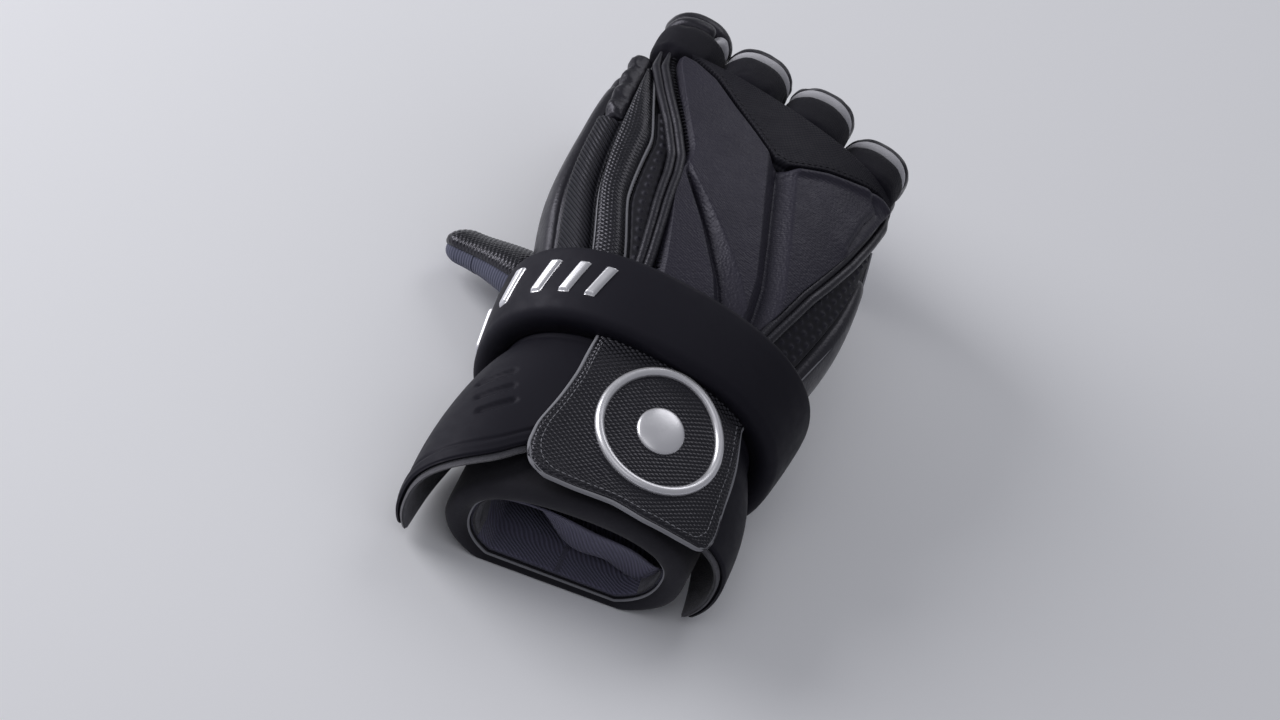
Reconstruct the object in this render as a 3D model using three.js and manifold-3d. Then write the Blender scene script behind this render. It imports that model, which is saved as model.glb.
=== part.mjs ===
// A right-hand lacrosse glove, lying palm down on its cuff and finger tips.
// Millimetres, +X to the little finger, +Y to the finger tips, +Z up.
import * as THREE from "three";
import { mergeVertices } from "three/addons/utils/BufferGeometryUtils.js";
import Module from "manifold-3d";

const wasm = await Module();
wasm.setup();

// Driving sizes of the hand.
const handLength = 155; // wrist seam to knuckle seam
const palmWidth = 128;
const knuckleTop = 97; // top of the hand skin at the knuckles, above the floor
const handWall = 2.5;
const knuckleSkew = 8; // how far the index end of the knuckle seam leads its middle

// Driving sizes of the cuff.
const cuffLength = 78; // hand opening to wrist seam
const cuffWidth = 104;
const cuffHeight = 51;
const cuffSkew = 10; // how far the thumb side of the cuff reaches back past its middle
const collarWall = 10;
const collarSole = 3;
const liningWall = 1.5;
const flapWall = 4.5;
const flareThumb = 15; // how far the flaps stand off the collar at their sides
const flareLittle = 10;
const flareTop = 1.5; // and on top
const shieldWall = 3.5;
const bandWall = 11;
const bandWidth = 34;
const bandLap = 12; // how far the band reaches back over the flaps

// Driving sizes of the badge and the bars.
const badgeDiameter = 58;
const badgeRim = 4.2;
const badgeHeight = 2.6;
const buttonDiameter = 22;
const barCount = 6;
const barWidth = 4.6;
const barLength = 15;
const barPitch = 8.2;
const barSlant = 5; // how far the end of a bar leans past its start
const barHeight = 1.4;

// Driving sizes of the fingers and the thumb.
const fingerPitch = 0.258 * palmWidth;
const fingerSpacing = 5; // between the skins of two fingers
const fingerWidth = fingerPitch - fingerSpacing;
const fingerDepth = 26;
const fingerWall = 2.2;
const fingerLength = 64; // knuckle seam to the bend over the last joint
const fingerRoot = 12; // how far the middle line of a finger reaches back into the hand
const rollWall = 6;
const trimWall = 4.8;
const tipTurn = 86; // slope of the last finger joint, in degrees below level
const thumbLength = 76;
const thumbWidth = 31;
const thumbDepth = 20;
const thumbPadWall = 3.6;
const thumbDips = [14, 21]; // slopes of its two joints, in degrees below level
const thumbTurn = 23; // degrees ahead of straight out to the side

// Driving sizes of the padding on the back of the hand.
const shellWall = 7;
const knucklePanelWall = 4.6;
const stripWall = 5.5;
const meshWall = 2.4;
const sideWall = 4;
const railWall = 8.4;
const patchWall = 1.6;
const grooveWidth = 8;
const grooveDepth = 3.2;

// Clearances.
const gap = 0.35; // between pieces that are sewn or glued to each other
const sunk = 1.2; // how far a raw pad reaches into its seat before it is cut back

// Sections of the cuff, from the hand opening to near the wrist seam, where it ends in the first
// section of the hand: along is a share of cuffLength, half and shift are shares of half of
// cuffWidth, top and bottom shares of cuffHeight.
const cuffSections = [
  { along: -0.08, half: 1.0, top: 0.98, bottom: -0.1, shift: 0.15, skew: 1.0 },
  { along: 0.1, half: 1.01, top: 1.04, bottom: -0.1, shift: 0.14, skew: 0.85 },
  { along: 0.5, half: 1.02, top: 1.18, bottom: -0.08, shift: 0.12, skew: 0.4 },
  { along: 0.8, half: 1.03, top: 1.32, bottom: 0.03, shift: 0.08, skew: 0.1 },
];

// Sections of the hand, from the wrist seam to the knuckle seam: along is a share of handLength,
// half and shift are shares of half of palmWidth, top and bottom shares of knuckleTop.
const handSections = [
  { along: 0.0, half: 0.855, top: 0.745, bottom: 0.06, shift: 0.06, skew: 0.0 },
  { along: 0.16, half: 0.92, top: 0.83, bottom: 0.14, shift: 0.06, skew: 0.1 },
  { along: 0.42, half: 1.07, top: 0.92, bottom: 0.3, shift: 0.02, skew: 0.3 },
  { along: 0.72, half: 1.08, top: 0.98, bottom: 0.47, shift: -0.01, skew: 0.7 },
  { along: 1.0, half: 1.04, top: 1.0, bottom: 0.6, shift: -0.04, skew: 1.0 },
];

const padFrom = 0.155; // share of handLength where the pads on the back start, just ahead of the band

// Seams between the pads on the back, from the thumb side to the little-finger side, as shares of
// the half width: past 1 they turn under the hand, where 2 is the middle of the palm.
const backSeams = [
  { along: padFrom, thumbSole: -1.34, ribbed: -0.95, carbon: -0.73, meshThumb: -0.47, railThumb: -0.38,
    shell: -0.31, railLittle: 0.54, meshLittle: 0.61, littleEdge: 1.05, littleSole: 1.4 },
  { along: 0.4, thumbSole: -1.36, ribbed: -0.95, carbon: -0.78, meshThumb: -0.57, railThumb: -0.42,
    shell: -0.35, railLittle: 0.63, meshLittle: 0.7, littleEdge: 1.03, littleSole: 1.4 },
  { along: 0.64, thumbSole: -1.38, ribbed: -0.96, carbon: -0.82, meshThumb: -0.58, railThumb: -0.47,
    shell: -0.4, railLittle: 0.78, meshLittle: 0.85, littleEdge: 1.02, littleSole: 1.4 },
  { along: 0.97, thumbSole: -1.38, ribbed: -0.99, carbon: -0.86, meshThumb: -0.81, railThumb: -0.78,
    shell: -0.71, railLittle: 0.96, meshLittle: 1.0, littleEdge: 1.06, littleSole: 1.4 },
];

// Pads on the back: name, the seams at their two sides, the shares of handLength where they start
// and end, wall and colour.
const backPads = [
  ["side_wall_thumb", "thumbSole", "ribbed", padFrom, 0.97, sideWall, "leather"],
  ["strip_ribbed", "ribbed", "carbon", padFrom, 0.7, stripWall, "carbon"],
  ["index_side_pad", "ribbed", "carbon", 0.71, 0.97, stripWall, "leather"],
  ["strip_carbon", "carbon", "meshThumb", padFrom, 0.93, stripWall, "carbon"],
  ["mesh_thumb", "meshThumb", "railThumb", padFrom, 0.76, meshWall, "mesh"],
  ["rail_thumb", "railThumb", "shell", padFrom, 0.97, railWall, "leather"],
  ["back_shell", "shell", "railLittle", padFrom, 0.98, shellWall, "shell"],
  ["rail_little", "railLittle", "meshLittle", padFrom, 0.9, railWall, "leather"],
  ["mesh_little", "meshLittle", "littleEdge", padFrom, 0.88, meshWall, "mesh"],
  ["side_wall_little", "littleEdge", "littleSole", padFrom, 0.97, sideWall, "leather"],
].map(([name, left, right, from, to, wall, colour]) => ({ name, left, right, from, to, wall, colour }));

// Outline of the knuckle panel and ends of the grooves, along and across as the seams above.
const knucklePanel = [
  { along: 1.04, across: -0.42 },
  { along: 0.97, across: -0.38 },
  { along: 0.78, across: 0.15 },
  { along: 0.86, across: 0.84 },
  { along: 1.04, across: 1.1 },
];
const knucklePanelReach = { from: 0.7, to: 0.985, left: -0.8 }; // of the raw pad that it is cut from
const palmPatchReach = { from: 0.3, to: 0.92, left: 1.6, right: 2.4 };
const grooves = [
  { from: { along: 0.78, across: 0.15 }, to: { along: 0.16, across: 0.4 } },
  { from: { along: 0.63, across: -0.36 }, to: { along: 0.16, across: 0.3 } },
];

// Fingers: place across the hand in pitches, the lengths of the first two joints as shares of
// fingerLength, their slopes in degrees below level, and the turn outwards.
const fingers = [
  { name: "index", slot: -1.45, first: 0.5, second: 0.54, dip: 2, turn: 56, splay: 1 },
  { name: "middle", slot: -0.45, first: 0.5, second: 0.56, dip: 7, turn: 58, splay: 0 },
  { name: "ring", slot: 0.55, first: 0.5, second: 0.54, dip: 6, turn: 60, splay: -2 },
  { name: "little", slot: 1.53, first: 0.44, second: 0.48, dip: 8, turn: 62, splay: -5 },
];

// Padded rolls and grey trims on a finger, as shares of its middle line.
const fingerPads = [
  { name: "roll_1", from: 0.125, to: 0.32, wall: rollWall, colour: "leather" },
  { name: "trim", from: 0.332, to: 0.375, wall: trimWall, colour: "grey", middle: false },
  { name: "roll_2", from: 0.387, to: 0.575, wall: rollWall, colour: "leather" },
  { name: "roll_3", from: 0.595, to: 0.8, wall: rollWall, colour: "leather" },
];
const capFrom = 0.83; // share of the finger line where its tip cap starts
const rootCut = 0.14; // share of it that opens the hand
const thumbCut = 0.5; // the same for the thumb
const thumbPadReach = { from: 0.45, to: 0.98 }; // shares of the thumb's line
const squareness = 2.35; // exponent of the rounded sections
const ringSides = 18;
const fingerSides = 12;
const badgeSides = 20;
const padStations = [0.22, 0.36, 0.5, 0.64, 0.76, 0.88]; // rows of the pads on the back
const digitStations = [0, 0.14, 0.28, 0.4, 0.52, 0.67, 0.83, 1]; // rings along a digit
const wrapCorners = 6; // corners of a digit's ring that its pads cover
const rollSoftSide = 0.68; // share of a roll's wall that is gone at its sides
const rollSoftEnd = 0.4;
const rollShoulder = 0.4; // share of the way to a roll's first ring where its wall is whole
const rimBreak = 0.3; // where a rounded rim turns, as a share of its radius
const endPower = 8; // how sharply the wall of a pad falls at its ends
const sidePower = 6;
const domeTurns = [30, 58, 78]; // degrees round the tip of a digit where its rings lie
const steepest = 0.8; // share of the half width past which a finger starts no lower

const looks = {
  leather: { color: 0x161519, roughness: 0.5, metalness: 0 },
  rubber: { color: 0x131219, roughness: 0.75, metalness: 0 },
  shell: { color: 0x1c1b22, roughness: 0.6, metalness: 0 },
  carbon: { color: 0x18181c, roughness: 0.35, metalness: 0.1 },
  mesh: { color: 0x121216, roughness: 0.9, metalness: 0 },
  grey: { color: 0x8f8f95, roughness: 0.8, metalness: 0 },
  lining: { color: 0x24242f, roughness: 0.95, metalness: 0 },
  foam: { color: 0x111115, roughness: 0.9, metalness: 0 },
  silver: { color: 0xc8c8cc, roughness: 0.3, metalness: 0.9 },
};

// A row of a table at any share along it, with its columns joined by straight lines.
function rowAt(table, along) {
  const found = table.findIndex((row) => row.along >= along);
  const last = found < 0 ? table.length - 1 : Math.max(1, found);
  const low = table[last - 1];
  const high = table[last];
  const t = (along - low.along) / (high.along - low.along);
  const made = {};
  for (const column of Object.keys(low)) made[column] = THREE.MathUtils.lerp(low[column], high[column], t);
  return made;
}

function handForm(along) {
  const row = rowAt(handSections, along);
  return {
    x: (row.shift * palmWidth) / 2,
    y: cuffLength + along * handLength,
    half: (row.half * palmWidth) / 2,
    middle: (knuckleTop * (row.top + row.bottom)) / 2,
    tall: (knuckleTop * (row.top - row.bottom)) / 2,
    skew: -knuckleSkew * row.skew,
  };
}

// The cuff runs into the wrist section of the hand.
const cuffRings = cuffSections.map((row) => ({
  along: row.along,
  x: (row.shift * cuffWidth) / 2,
  y: row.along * cuffLength,
  half: (row.half * cuffWidth) / 2,
  middle: (cuffHeight * (row.top + row.bottom)) / 2,
  tall: (cuffHeight * (row.top - row.bottom)) / 2,
  skew: cuffSkew * row.skew,
}));
cuffRings.push({ along: 1, ...handForm(0) });

function cuffForm(along) {
  return rowAt(cuffRings, along);
}

// Angle from the top of a section for a share of its half width.
function angleAt(share) {
  const size = Math.abs(share);
  const turned = size <= 1 ? Math.asin(size ** (squareness / 2)) : (Math.PI / 2) * size;
  return Math.sign(share) * turned;
}

function signedPower(value, power) {
  return Math.sign(value) * Math.abs(value) ** power;
}

// A point on a section, lifted outwards, or by another measure under its middle, and kept off the floor.
function pointOn(section, angle, lift, under = lift) {
  const across = signedPower(Math.sin(angle), 2 / squareness);
  const rise = signedPower(Math.cos(angle), 2 / squareness);
  const x = section.x + (section.half + lift) * across;
  const z = section.middle + (section.tall + (rise < 0 ? under : lift)) * rise;
  const y = section.y + (section.skew * (x - section.x)) / section.half;
  return new THREE.Vector3(x, y, Math.max(z, -Math.min(under, 0)));
}

function spread(count, from, to) {
  return Array.from({ length: count }, (_, i) => THREE.MathUtils.lerp(from, to, i / (count - 1)));
}

function ringOf(section, lift, under = lift) {
  return Array.from({ length: ringSides }, (_, i) => {
    return pointOn(section, (2 * Math.PI * (i + 0.5)) / ringSides, lift, under);
  });
}

// A closed solid from points and triangles, with its faces turned outwards.
function toSolid(points, faces) {
  const geometry = new THREE.BufferGeometry();
  geometry.setAttribute("position", new THREE.Float32BufferAttribute(points.flatMap((p) => p.toArray()), 3));
  geometry.setIndex(faces.flat());
  const merged = mergeVertices(geometry, 1e-4);
  const corners = merged.getAttribute("position").array;
  const index = Array.from(merged.index.array);
  const kept = [];
  for (let i = 0; i < index.length; i += 3) {
    const [a, b, c] = index.slice(i, i + 3);
    if (a !== b && b !== c && a !== c) kept.push([a, b, c]);
  }
  const corner = (i) => new THREE.Vector3().fromArray(corners, 3 * i);
  const volume = kept.reduce((sum, [a, b, c]) => sum + corner(a).dot(corner(b).cross(corner(c))), 0);
  const outward = volume < 0 ? kept.map(([a, b, c]) => [a, c, b]) : kept;
  return new wasm.Manifold(
    new wasm.Mesh({
      numProp: 3,
      vertProperties: new Float32Array(corners),
      triVerts: new Uint32Array(outward.flat()),
    }),
  );
}

// A closed solid through rings of equally many points, its two ends closed by fans.
function loft(rings) {
  const sides = rings[0].length;
  const points = rings.flat();
  const faces = [];
  for (let r = 0; r + 1 < rings.length; r++) {
    for (let i = 0; i < sides; i++) {
      const a = r * sides + i;
      const b = r * sides + ((i + 1) % sides);
      faces.push([a, b, b + sides], [a, b + sides, a + sides]);
    }
  }
  for (const start of [0, (rings.length - 1) * sides]) {
    const centre = new THREE.Vector3();
    for (const p of rings[start / sides]) centre.addScaledVector(p, 1 / sides);
    points.push(centre);
    for (let i = 0; i < sides; i++) {
      const a = start + i;
      const b = start + ((i + 1) % sides);
      faces.push(start === 0 ? [b, a, points.length - 1] : [a, b, points.length - 1]);
    }
  }
  return toSolid(points, faces);
}

// A closed slab between two grids of points.
function slab(outer, inner) {
  const rows = outer.length;
  const columns = outer[0].length;
  const under = rows * columns;
  const faces = [];
  const quad = (a, b, c, d) => faces.push([a, b, c], [a, c, d]);
  for (let r = 0; r + 1 < rows; r++) {
    for (let c = 0; c + 1 < columns; c++) {
      const a = r * columns + c;
      quad(a, a + 1, a + columns + 1, a + columns);
      quad(under + a, under + a + columns, under + a + columns + 1, under + a + 1);
    }
    const left = r * columns;
    const right = left + columns - 1;
    quad(left, left + columns, under + left + columns, under + left);
    quad(right, under + right, under + right + columns, right + columns);
  }
  for (let c = 0; c + 1 < columns; c++) {
    const last = (rows - 1) * columns + c;
    quad(c, under + c, under + c + 1, c + 1);
    quad(last, last + 1, under + last + 1, under + last);
  }
  return toSolid([...outer.flat(), ...inner.flat()], faces);
}

// The stations of a list that lie between two ends, and the ends themselves.
function between(list, from, to) {
  return [from, ...list.filter((along) => along > from && along < to), to];
}

// A raw pad on a form. Its edges come from a function of the share along, base is what it sits on,
// and scoop is how far its first row draws back on top.
function padOn(form, edges, sizes) {
  const { stations, wall, base = () => 0, sink = sunk, columns = 7, soft = 0.4, scoop = 0 } = sizes;
  const outer = [];
  const inner = [];
  const [from, to] = [stations[0], stations[stations.length - 1]];
  stations.forEach((along) => {
    const { left, right } = edges(along);
    const inset = gap / 2 / form(along).half;
    const end = Math.abs((2 * (along - from)) / (to - from) - 1) ** endPower;
    const angles = spread(columns, angleAt(left) + inset, angleAt(right) - inset);
    const back = (scoop * (to - along)) / (to - from);
    const section = (angle) => form(along + back * Math.cos(angle) ** 2);
    outer.push(
      angles.map((angle, c) => {
        const side = Math.abs((2 * c) / (columns - 1) - 1) ** sidePower;
        return pointOn(section(angle), angle, base(along, angle) + wall * (1 - soft * Math.max(side, end)));
      }),
    );
    inner.push(angles.map((angle) => pointOn(section(angle), angle, base(along, angle) - sink)));
  });
  return slab(outer, inner);
}

// The outside of the cuff and the hand, lifted by a clearance or a layer.
const cuffStations = cuffRings.map((row) => row.along);
const handStations = handSections.map((row) => row.along);

function cuffBody(lift, from = cuffStations[0], to = 1) {
  return loft(between(cuffStations, from, to).map((along) => ringOf(cuffForm(along), lift)));
}

function handBody(lift, from = 0, to = 1) {
  return loft(between(handStations, from, to).map((along) => ringOf(handForm(along), lift)));
}

// The foam collar: its lip is rounded at the hand opening, and its hollow runs right through.
const lip = 4; // radius of the rounded lip

const past = 0.05; // how far a cut runs past the ends of what it opens, as a share of the length

function collarHollow() {
  const stations = [cuffStations[0] - past, ...cuffStations.slice(1, -1), 1 + past];
  return loft(stations.map((along) => ringOf(cuffForm(along), -collarWall, -collarSole)));
}

function collar() {
  const start = cuffStations[0];
  const lips = [
    ringOf(cuffForm(start), -lip),
    ringOf(cuffForm(start + (rimBreak * lip) / cuffLength), -rimBreak * lip),
    ringOf(cuffForm(start + lip / cuffLength), 0),
  ];
  const rest = [...cuffStations.slice(1, -1), 1 - gap / cuffLength];
  return loft([...lips, ...rest.map((along) => ringOf(cuffForm(along), 0))]).subtract(collarHollow());
}

const liningFrom = 0.02; // the lining starts just inside the lip, as a share of cuffLength

function lining() {
  const stations = [liningFrom, ...cuffStations.slice(2, -1), 1 - gap / cuffLength];
  const tube = (inset) => (along) => ringOf(cuffForm(along), -collarWall - inset, -collarSole - inset);
  const outer = loft(stations.map(tube(gap)));
  const longer = [liningFrom - past, ...stations.slice(1, -1), 1 + past];
  return outer.subtract(loft(longer.map(tube(gap + liningWall))));
}

const flareFade = 0.82; // share of cuffLength where the flaps come to lie on the collar

// Layers on the cuff: the flaps stand off towards the hand opening, the shield lies on them.
function flareAt(along, angle) {
  const side = angle < 0 ? flareThumb : flareLittle;
  const fade = 1 - Math.min(1, Math.max(0, along) / flareFade) ** 3;
  return fade * THREE.MathUtils.lerp(flareTop, side, Math.sin(angle) ** 2);
}

const flapBase = (along, angle) => gap + flareAt(along, angle);
const shieldBase = (along, angle) => flapBase(along, angle) + flapWall + gap;
const badgeBase = (along, angle) => shieldBase(along, angle) + shieldWall + gap;
const flapTo = 1 - gap / cuffLength;
const flapScoop = 0.3; // how far the thumb flap draws back beside the shield, as a share of cuffLength
const flapMeet = 0.02; // share of the half width where the two flaps meet under the shield
const flapReach = 0.1; // how far the thumb flap reaches past the hand opening, as a share of cuffLength
const layerStations = [0.02, 0.25, 0.5, 0.7]; // rows of the cuff's layers
const flapSides = [
  { along: 0, thumb: -1.22, little: 1.25 },
  { along: 1, thumb: -1.4, little: 1.4 },
];

function flap({ from, left, right, scoop = 0, grow = 0 }) {
  const edges = (along) => ({ left: left(along), right: right(along) });
  const stations = between(layerStations, from, flapTo);
  const sizes = { stations, wall: flapWall + grow, base: flapBase, columns: 8, soft: 0.3, scoop };
  return padOn(cuffForm, edges, sizes);
}

function flapThumb(grow = 0) {
  const left = (along) => rowAt(flapSides, along).thumb;
  return flap({ from: -flapReach, left, right: () => flapMeet, scoop: flapScoop, grow });
}

function flapLittle(grow = 0) {
  const right = (along) => rowAt(flapSides, along).little;
  return flap({ from: 0, left: () => flapMeet, right, grow });
}

// A flap as it is: cut back to the gap it keeps from the collar and from the band.
function flapCut(raw) {
  return raw.subtract(cuffBody(gap)).subtract(band(gap));
}

// Sides of the shield: its corners at the hand opening are rounded off.
const shieldEdges = [
  { along: -0.05, left: -0.38, right: 0.66 },
  { along: 0.0, left: -0.5, right: 0.8 },
  { along: 0.08, left: -0.56, right: 0.88 },
  { along: 1.0, left: -0.5, right: 0.96 },
];

const bandFrom = 1 - bandLap / cuffLength;
const shieldTo = bandFrom - gap / cuffLength;

function shieldRaw(grow = 0) {
  const edges = (along) => rowAt(shieldEdges, along);
  const stations = between([0.0, 0.08, 0.4], shieldEdges[0].along, shieldTo);
  return padOn(cuffForm, edges, { stations, wall: shieldWall + grow, base: shieldBase, columns: 6 });
}

function shield() {
  return shieldRaw().subtract(flapThumb(gap)).subtract(flapLittle(gap));
}

// The band is one rubber ring: it clears the flaps behind the wrist seam and the hand in front of it.
const bandLift = gap + flapWall + gap + bandWall; // its outside, above the cuff and the hand
const bandTo = (bandWidth - bandLap) / handLength;
const bandRound = bandWall / 3; // radius of its two rims
const bandHollowTo = 0.4; // the hand fills its hollow up to this share of handLength

// The section under the band, by the share of the way from its back rim to its front rim.
function bandForm(share) {
  const back = { ...cuffForm(bandFrom + bandRound / cuffLength), along: 0 };
  const front = { ...handForm(bandTo - bandRound / handLength), along: 1 };
  return rowAt([back, front], share);
}

function bandStations() {
  const turn = rimBreak * bandRound;
  return [
    { section: cuffForm(bandFrom), lift: bandLift - bandRound },
    { section: cuffForm(bandFrom + turn / cuffLength), lift: bandLift - turn },
    { section: bandForm(0), lift: bandLift },
    { section: bandForm(1), lift: bandLift },
    { section: handForm(bandTo - turn / handLength), lift: bandLift - turn },
    { section: handForm(bandTo), lift: bandLift - bandRound },
  ];
}

function bandOutside(grow) {
  return loft(bandStations().map(({ section, lift }) => ringOf(section, lift + grow)));
}

// Its hollow may be made tighter by a clearance, to cut back the flaps inside it.
function band(tighter = 0) {
  const overFlaps = cuffBody(2 * gap + flapWall - tighter, bandFrom - past, 1 + gap / cuffLength);
  return bandOutside(0).subtract(overFlaps).subtract(handBody(gap, 0, bandHollowTo));
}

// Slanted bars on the thumb side of the band, each a raised sliver.
const barsFrom = -0.5; // near side of the first bar, as a share of the half width

function bars() {
  const made = [];
  const reach = barLength / (bandWidth - 2 * bandRound);
  const from = 0.5 - reach / 2;
  const half = bandForm(0.5).half;
  for (let i = 0; i < barCount; i++) {
    const edges = (share) => {
      const right = barsFrom + (barSlant * ((share - from) / reach) - i * barPitch) / half;
      return { left: right - barWidth / half, right };
    };
    const stations = spread(2, from, from + reach);
    const wall = gap + barHeight;
    const sizes = { stations, wall, base: () => bandLift, sink: bandRound, columns: 3, soft: 0 };
    const solid = padOn(bandForm, edges, sizes).subtract(bandOutside(gap));
    made.push({ name: `band_bar_${i + 1}`, solid });
  }
  return made;
}

// The badge lies on the shield: round prisms standing square to it cut the ring and the button.
const badgeAlong = 0.43; // middle of the badge, as a share of cuffLength and of the half width
const badgeAcross = 0.23;

function roundPrism(diameter, tall = cuffHeight) {
  const geometry = new THREE.CylinderGeometry(diameter / 2, diameter / 2, tall, badgeSides);
  geometry.rotateX(Math.PI / 2);
  const angle = angleAt(badgeAcross);
  const at = (along) => pointOn(cuffForm(along), angle, badgeBase(along, angle));
  const ahead = at(badgeAlong + past).sub(at(badgeAlong - past));
  geometry.rotateX(Math.atan2(ahead.z, ahead.y));
  geometry.translate(...at(badgeAlong).toArray());
  return fromGeometry(geometry);
}

function fromGeometry(geometry) {
  geometry.deleteAttribute("normal");
  geometry.deleteAttribute("uv");
  const merged = mergeVertices(geometry, 1e-4);
  const corners = merged.getAttribute("position").array;
  return new wasm.Manifold(
    new wasm.Mesh({
      numProp: 3,
      vertProperties: new Float32Array(corners),
      triVerts: new Uint32Array(merged.index.array),
    }),
  );
}

function badgeLayer() {
  const reach = badgeDiameter / cuffForm(badgeAlong).half / 2 + past;
  const edges = () => ({ left: badgeAcross - reach, right: badgeAcross + reach });
  const stations = between([0.2, 0.5], 0.0, shieldTo);
  const sizes = { stations, wall: badgeHeight, base: badgeBase, columns: 6, soft: 0 };
  return padOn(cuffForm, edges, sizes).subtract(shieldRaw(gap));
}

function badgeRing() {
  const ring = roundPrism(badgeDiameter).subtract(roundPrism(badgeDiameter - 2 * badgeRim, 2 * cuffHeight));
  return badgeLayer().intersect(ring);
}

function badgeButton() {
  return badgeLayer().intersect(roundPrism(buttonDiameter));
}

// The middle line of a finger, from inside the hand to short of its tip.
function fingerLine(finger) {
  const knuckle = handForm(1);
  const across = finger.slot * fingerPitch;
  const share = Math.min(steepest, Math.abs(across - knuckle.x) / knuckle.half);
  const drop = knuckle.tall * (1 - (1 - share ** squareness) ** (1 / squareness));
  const lead = (knuckle.skew * across) / knuckle.half;
  const height = knuckle.middle + knuckle.tall - drop - fingerDepth / 2 - gap;
  const start = new THREE.Vector3(across, knuckle.y + lead, height);
  const yaw = THREE.MathUtils.degToRad(finger.splay);
  const step = (length, slope) => {
    const down = THREE.MathUtils.degToRad(slope);
    const forward = length * Math.cos(down);
    return new THREE.Vector3(-forward * Math.sin(yaw), forward * Math.cos(yaw), -length * Math.sin(down));
  };
  const root = start.clone().sub(step(fingerRoot, finger.dip));
  const joint = start.clone().add(step(finger.first * fingerLength, finger.dip));
  const bend = joint.clone().add(step(finger.second * fingerLength, finger.turn));
  const reach = (bend.z - fingerDepth / 2) / Math.sin(THREE.MathUtils.degToRad(tipTurn));
  const tip = bend.clone().add(step(reach, tipTurn));
  return new THREE.CatmullRomCurve3([root, start, joint, bend, tip], false, "centripetal");
}

// The thumb leaves the low thumb side of the palm and points outwards, its tip just off the floor.
const thumbRoot = { along: 0.28, across: -0.62, back: 0.02, height: 0.34 }; // on the hand, as shares
const thumbJoint = 0.62; // share of its length where the line dips further

function thumbLine() {
  const base = handForm(thumbRoot.along);
  const x = base.x + thumbRoot.across * base.half;
  const root = new THREE.Vector3(x, base.y - thumbRoot.back * handLength, thumbRoot.height * knuckleTop);
  const turn = THREE.MathUtils.degToRad(thumbTurn);
  const step = (length, slope) => {
    const level = length * Math.cos(THREE.MathUtils.degToRad(slope));
    const down = length * Math.sin(THREE.MathUtils.degToRad(slope));
    return new THREE.Vector3(-level * Math.cos(turn), level * Math.sin(turn), -down);
  };
  const straight = thumbLength - thumbDepth / 2; // the rest is the round of the tip
  const joint = root.clone().add(step(thumbJoint * straight, thumbDips[0]));
  const tip = joint.clone().add(step((1 - thumbJoint) * straight, thumbDips[1]));
  return new THREE.CatmullRomCurve3([root, joint, tip], false, "centripetal");
}

// A point of a section across a finger line: angle 0 is the back of the finger.
function fingerPoint(digit, share, angle, lift) {
  const middle = digit.line.getPointAt(share);
  const tangent = digit.line.getTangentAt(share);
  const side = tangent.clone().cross(new THREE.Vector3(0, 0, 1)).normalize();
  const back = side.clone().cross(tangent).normalize();
  const across = signedPower(Math.sin(angle), 2 / squareness) * (digit.width / 2 + lift);
  const rise = signedPower(Math.cos(angle), 2 / squareness) * (digit.depth / 2 + lift);
  return middle.addScaledVector(side, across).addScaledVector(back, rise);
}

function fingerRing(digit, share, lift) {
  return Array.from({ length: fingerSides }, (_, i) => {
    return fingerPoint(digit, share, (2 * Math.PI * (i + 0.5)) / fingerSides, lift);
  });
}

// Rings along a digit; at its tip they close like a dome.
function digitSolid(digit, lift, from, to) {
  const inside = digitStations.filter((share) => share > from && share < to);
  const rings = [from, ...inside, to].map((share) => fingerRing(digit, share, lift));
  if (to === 1) {
    const end = digit.line.getPointAt(1);
    const ahead = digit.line.getTangentAt(1);
    const last = rings[rings.length - 1];
    for (const turn of domeTurns) {
      const angle = THREE.MathUtils.degToRad(turn);
      rings.push(
        last.map((p) => {
          const out = p.clone().sub(end).multiplyScalar(Math.cos(angle));
          return end.clone().add(out).addScaledVector(ahead, (digit.depth / 2 + lift) * Math.sin(angle));
        }),
      );
    }
  }
  return loft(rings);
}

// A pad wrapped over the back of a digit, between two shares of its line. Its columns lie over the
// corners of the skin, so that the two nest.
function wrapOn(digit, { from, to, wall, middle = true }) {
  const corners = spread(wrapCorners, 0.5 - wrapCorners / 2, wrapCorners / 2 - 0.5);
  const rows = middle ? between(digitStations, from, to) : [from, to];
  if (middle) rows.splice(1, 0, THREE.MathUtils.lerp(rows[0], rows[1], rollShoulder));
  const outer = [];
  const inner = [];
  for (const share of rows) {
    const end = share === from || share === to ? rollSoftEnd : 0;
    const angles = corners.map((corner) => (corner * 2 * Math.PI) / fingerSides);
    outer.push(
      angles.map((angle) => {
        const side = Math.abs(angle / angles[0]) ** 2;
        return fingerPoint(digit, share, angle, gap + wall * (1 - rollSoftSide * side) * (1 - end));
      }),
    );
    inner.push(angles.map((angle) => fingerPoint(digit, share, angle, gap)));
  }
  return slab(outer, inner);
}

function thumbPad() {
  const clearOfWall = handBody(2 * gap + sideWall);
  return wrapOn(thumb, { ...thumbPadReach, wall: thumbPadWall }).subtract(clearOfWall);
}

const digits = fingers.map((finger) => ({
  name: finger.name,
  line: fingerLine(finger),
  width: fingerWidth,
  depth: fingerDepth,
  clear: rollWall,
  opens: rootCut,
}));
const thumb = {
  name: "thumb",
  line: thumbLine(),
  width: thumbWidth,
  depth: thumbDepth,
  clear: gap,
  opens: thumbCut,
};

// The skin of a digit: a tube from the hand to its tip cap, and the cap, a cup that closes it.
function digitSkin(digit) {
  const outer = digitSolid(digit, 0, 0, capFrom);
  const hand = handBody(digit.clear, past, 1 + gap / handLength);
  return outer.subtract(digitSolid(digit, -fingerWall, 0, capFrom + past)).subtract(hand);
}

function digitCap(digit) {
  const seam = gap / digit.line.getLength();
  const outer = digitSolid(digit, 0, capFrom + seam, 1);
  const hollow = digitSolid(digit, -fingerWall, capFrom - past, 1);
  return outer.subtract(hollow);
}

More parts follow.
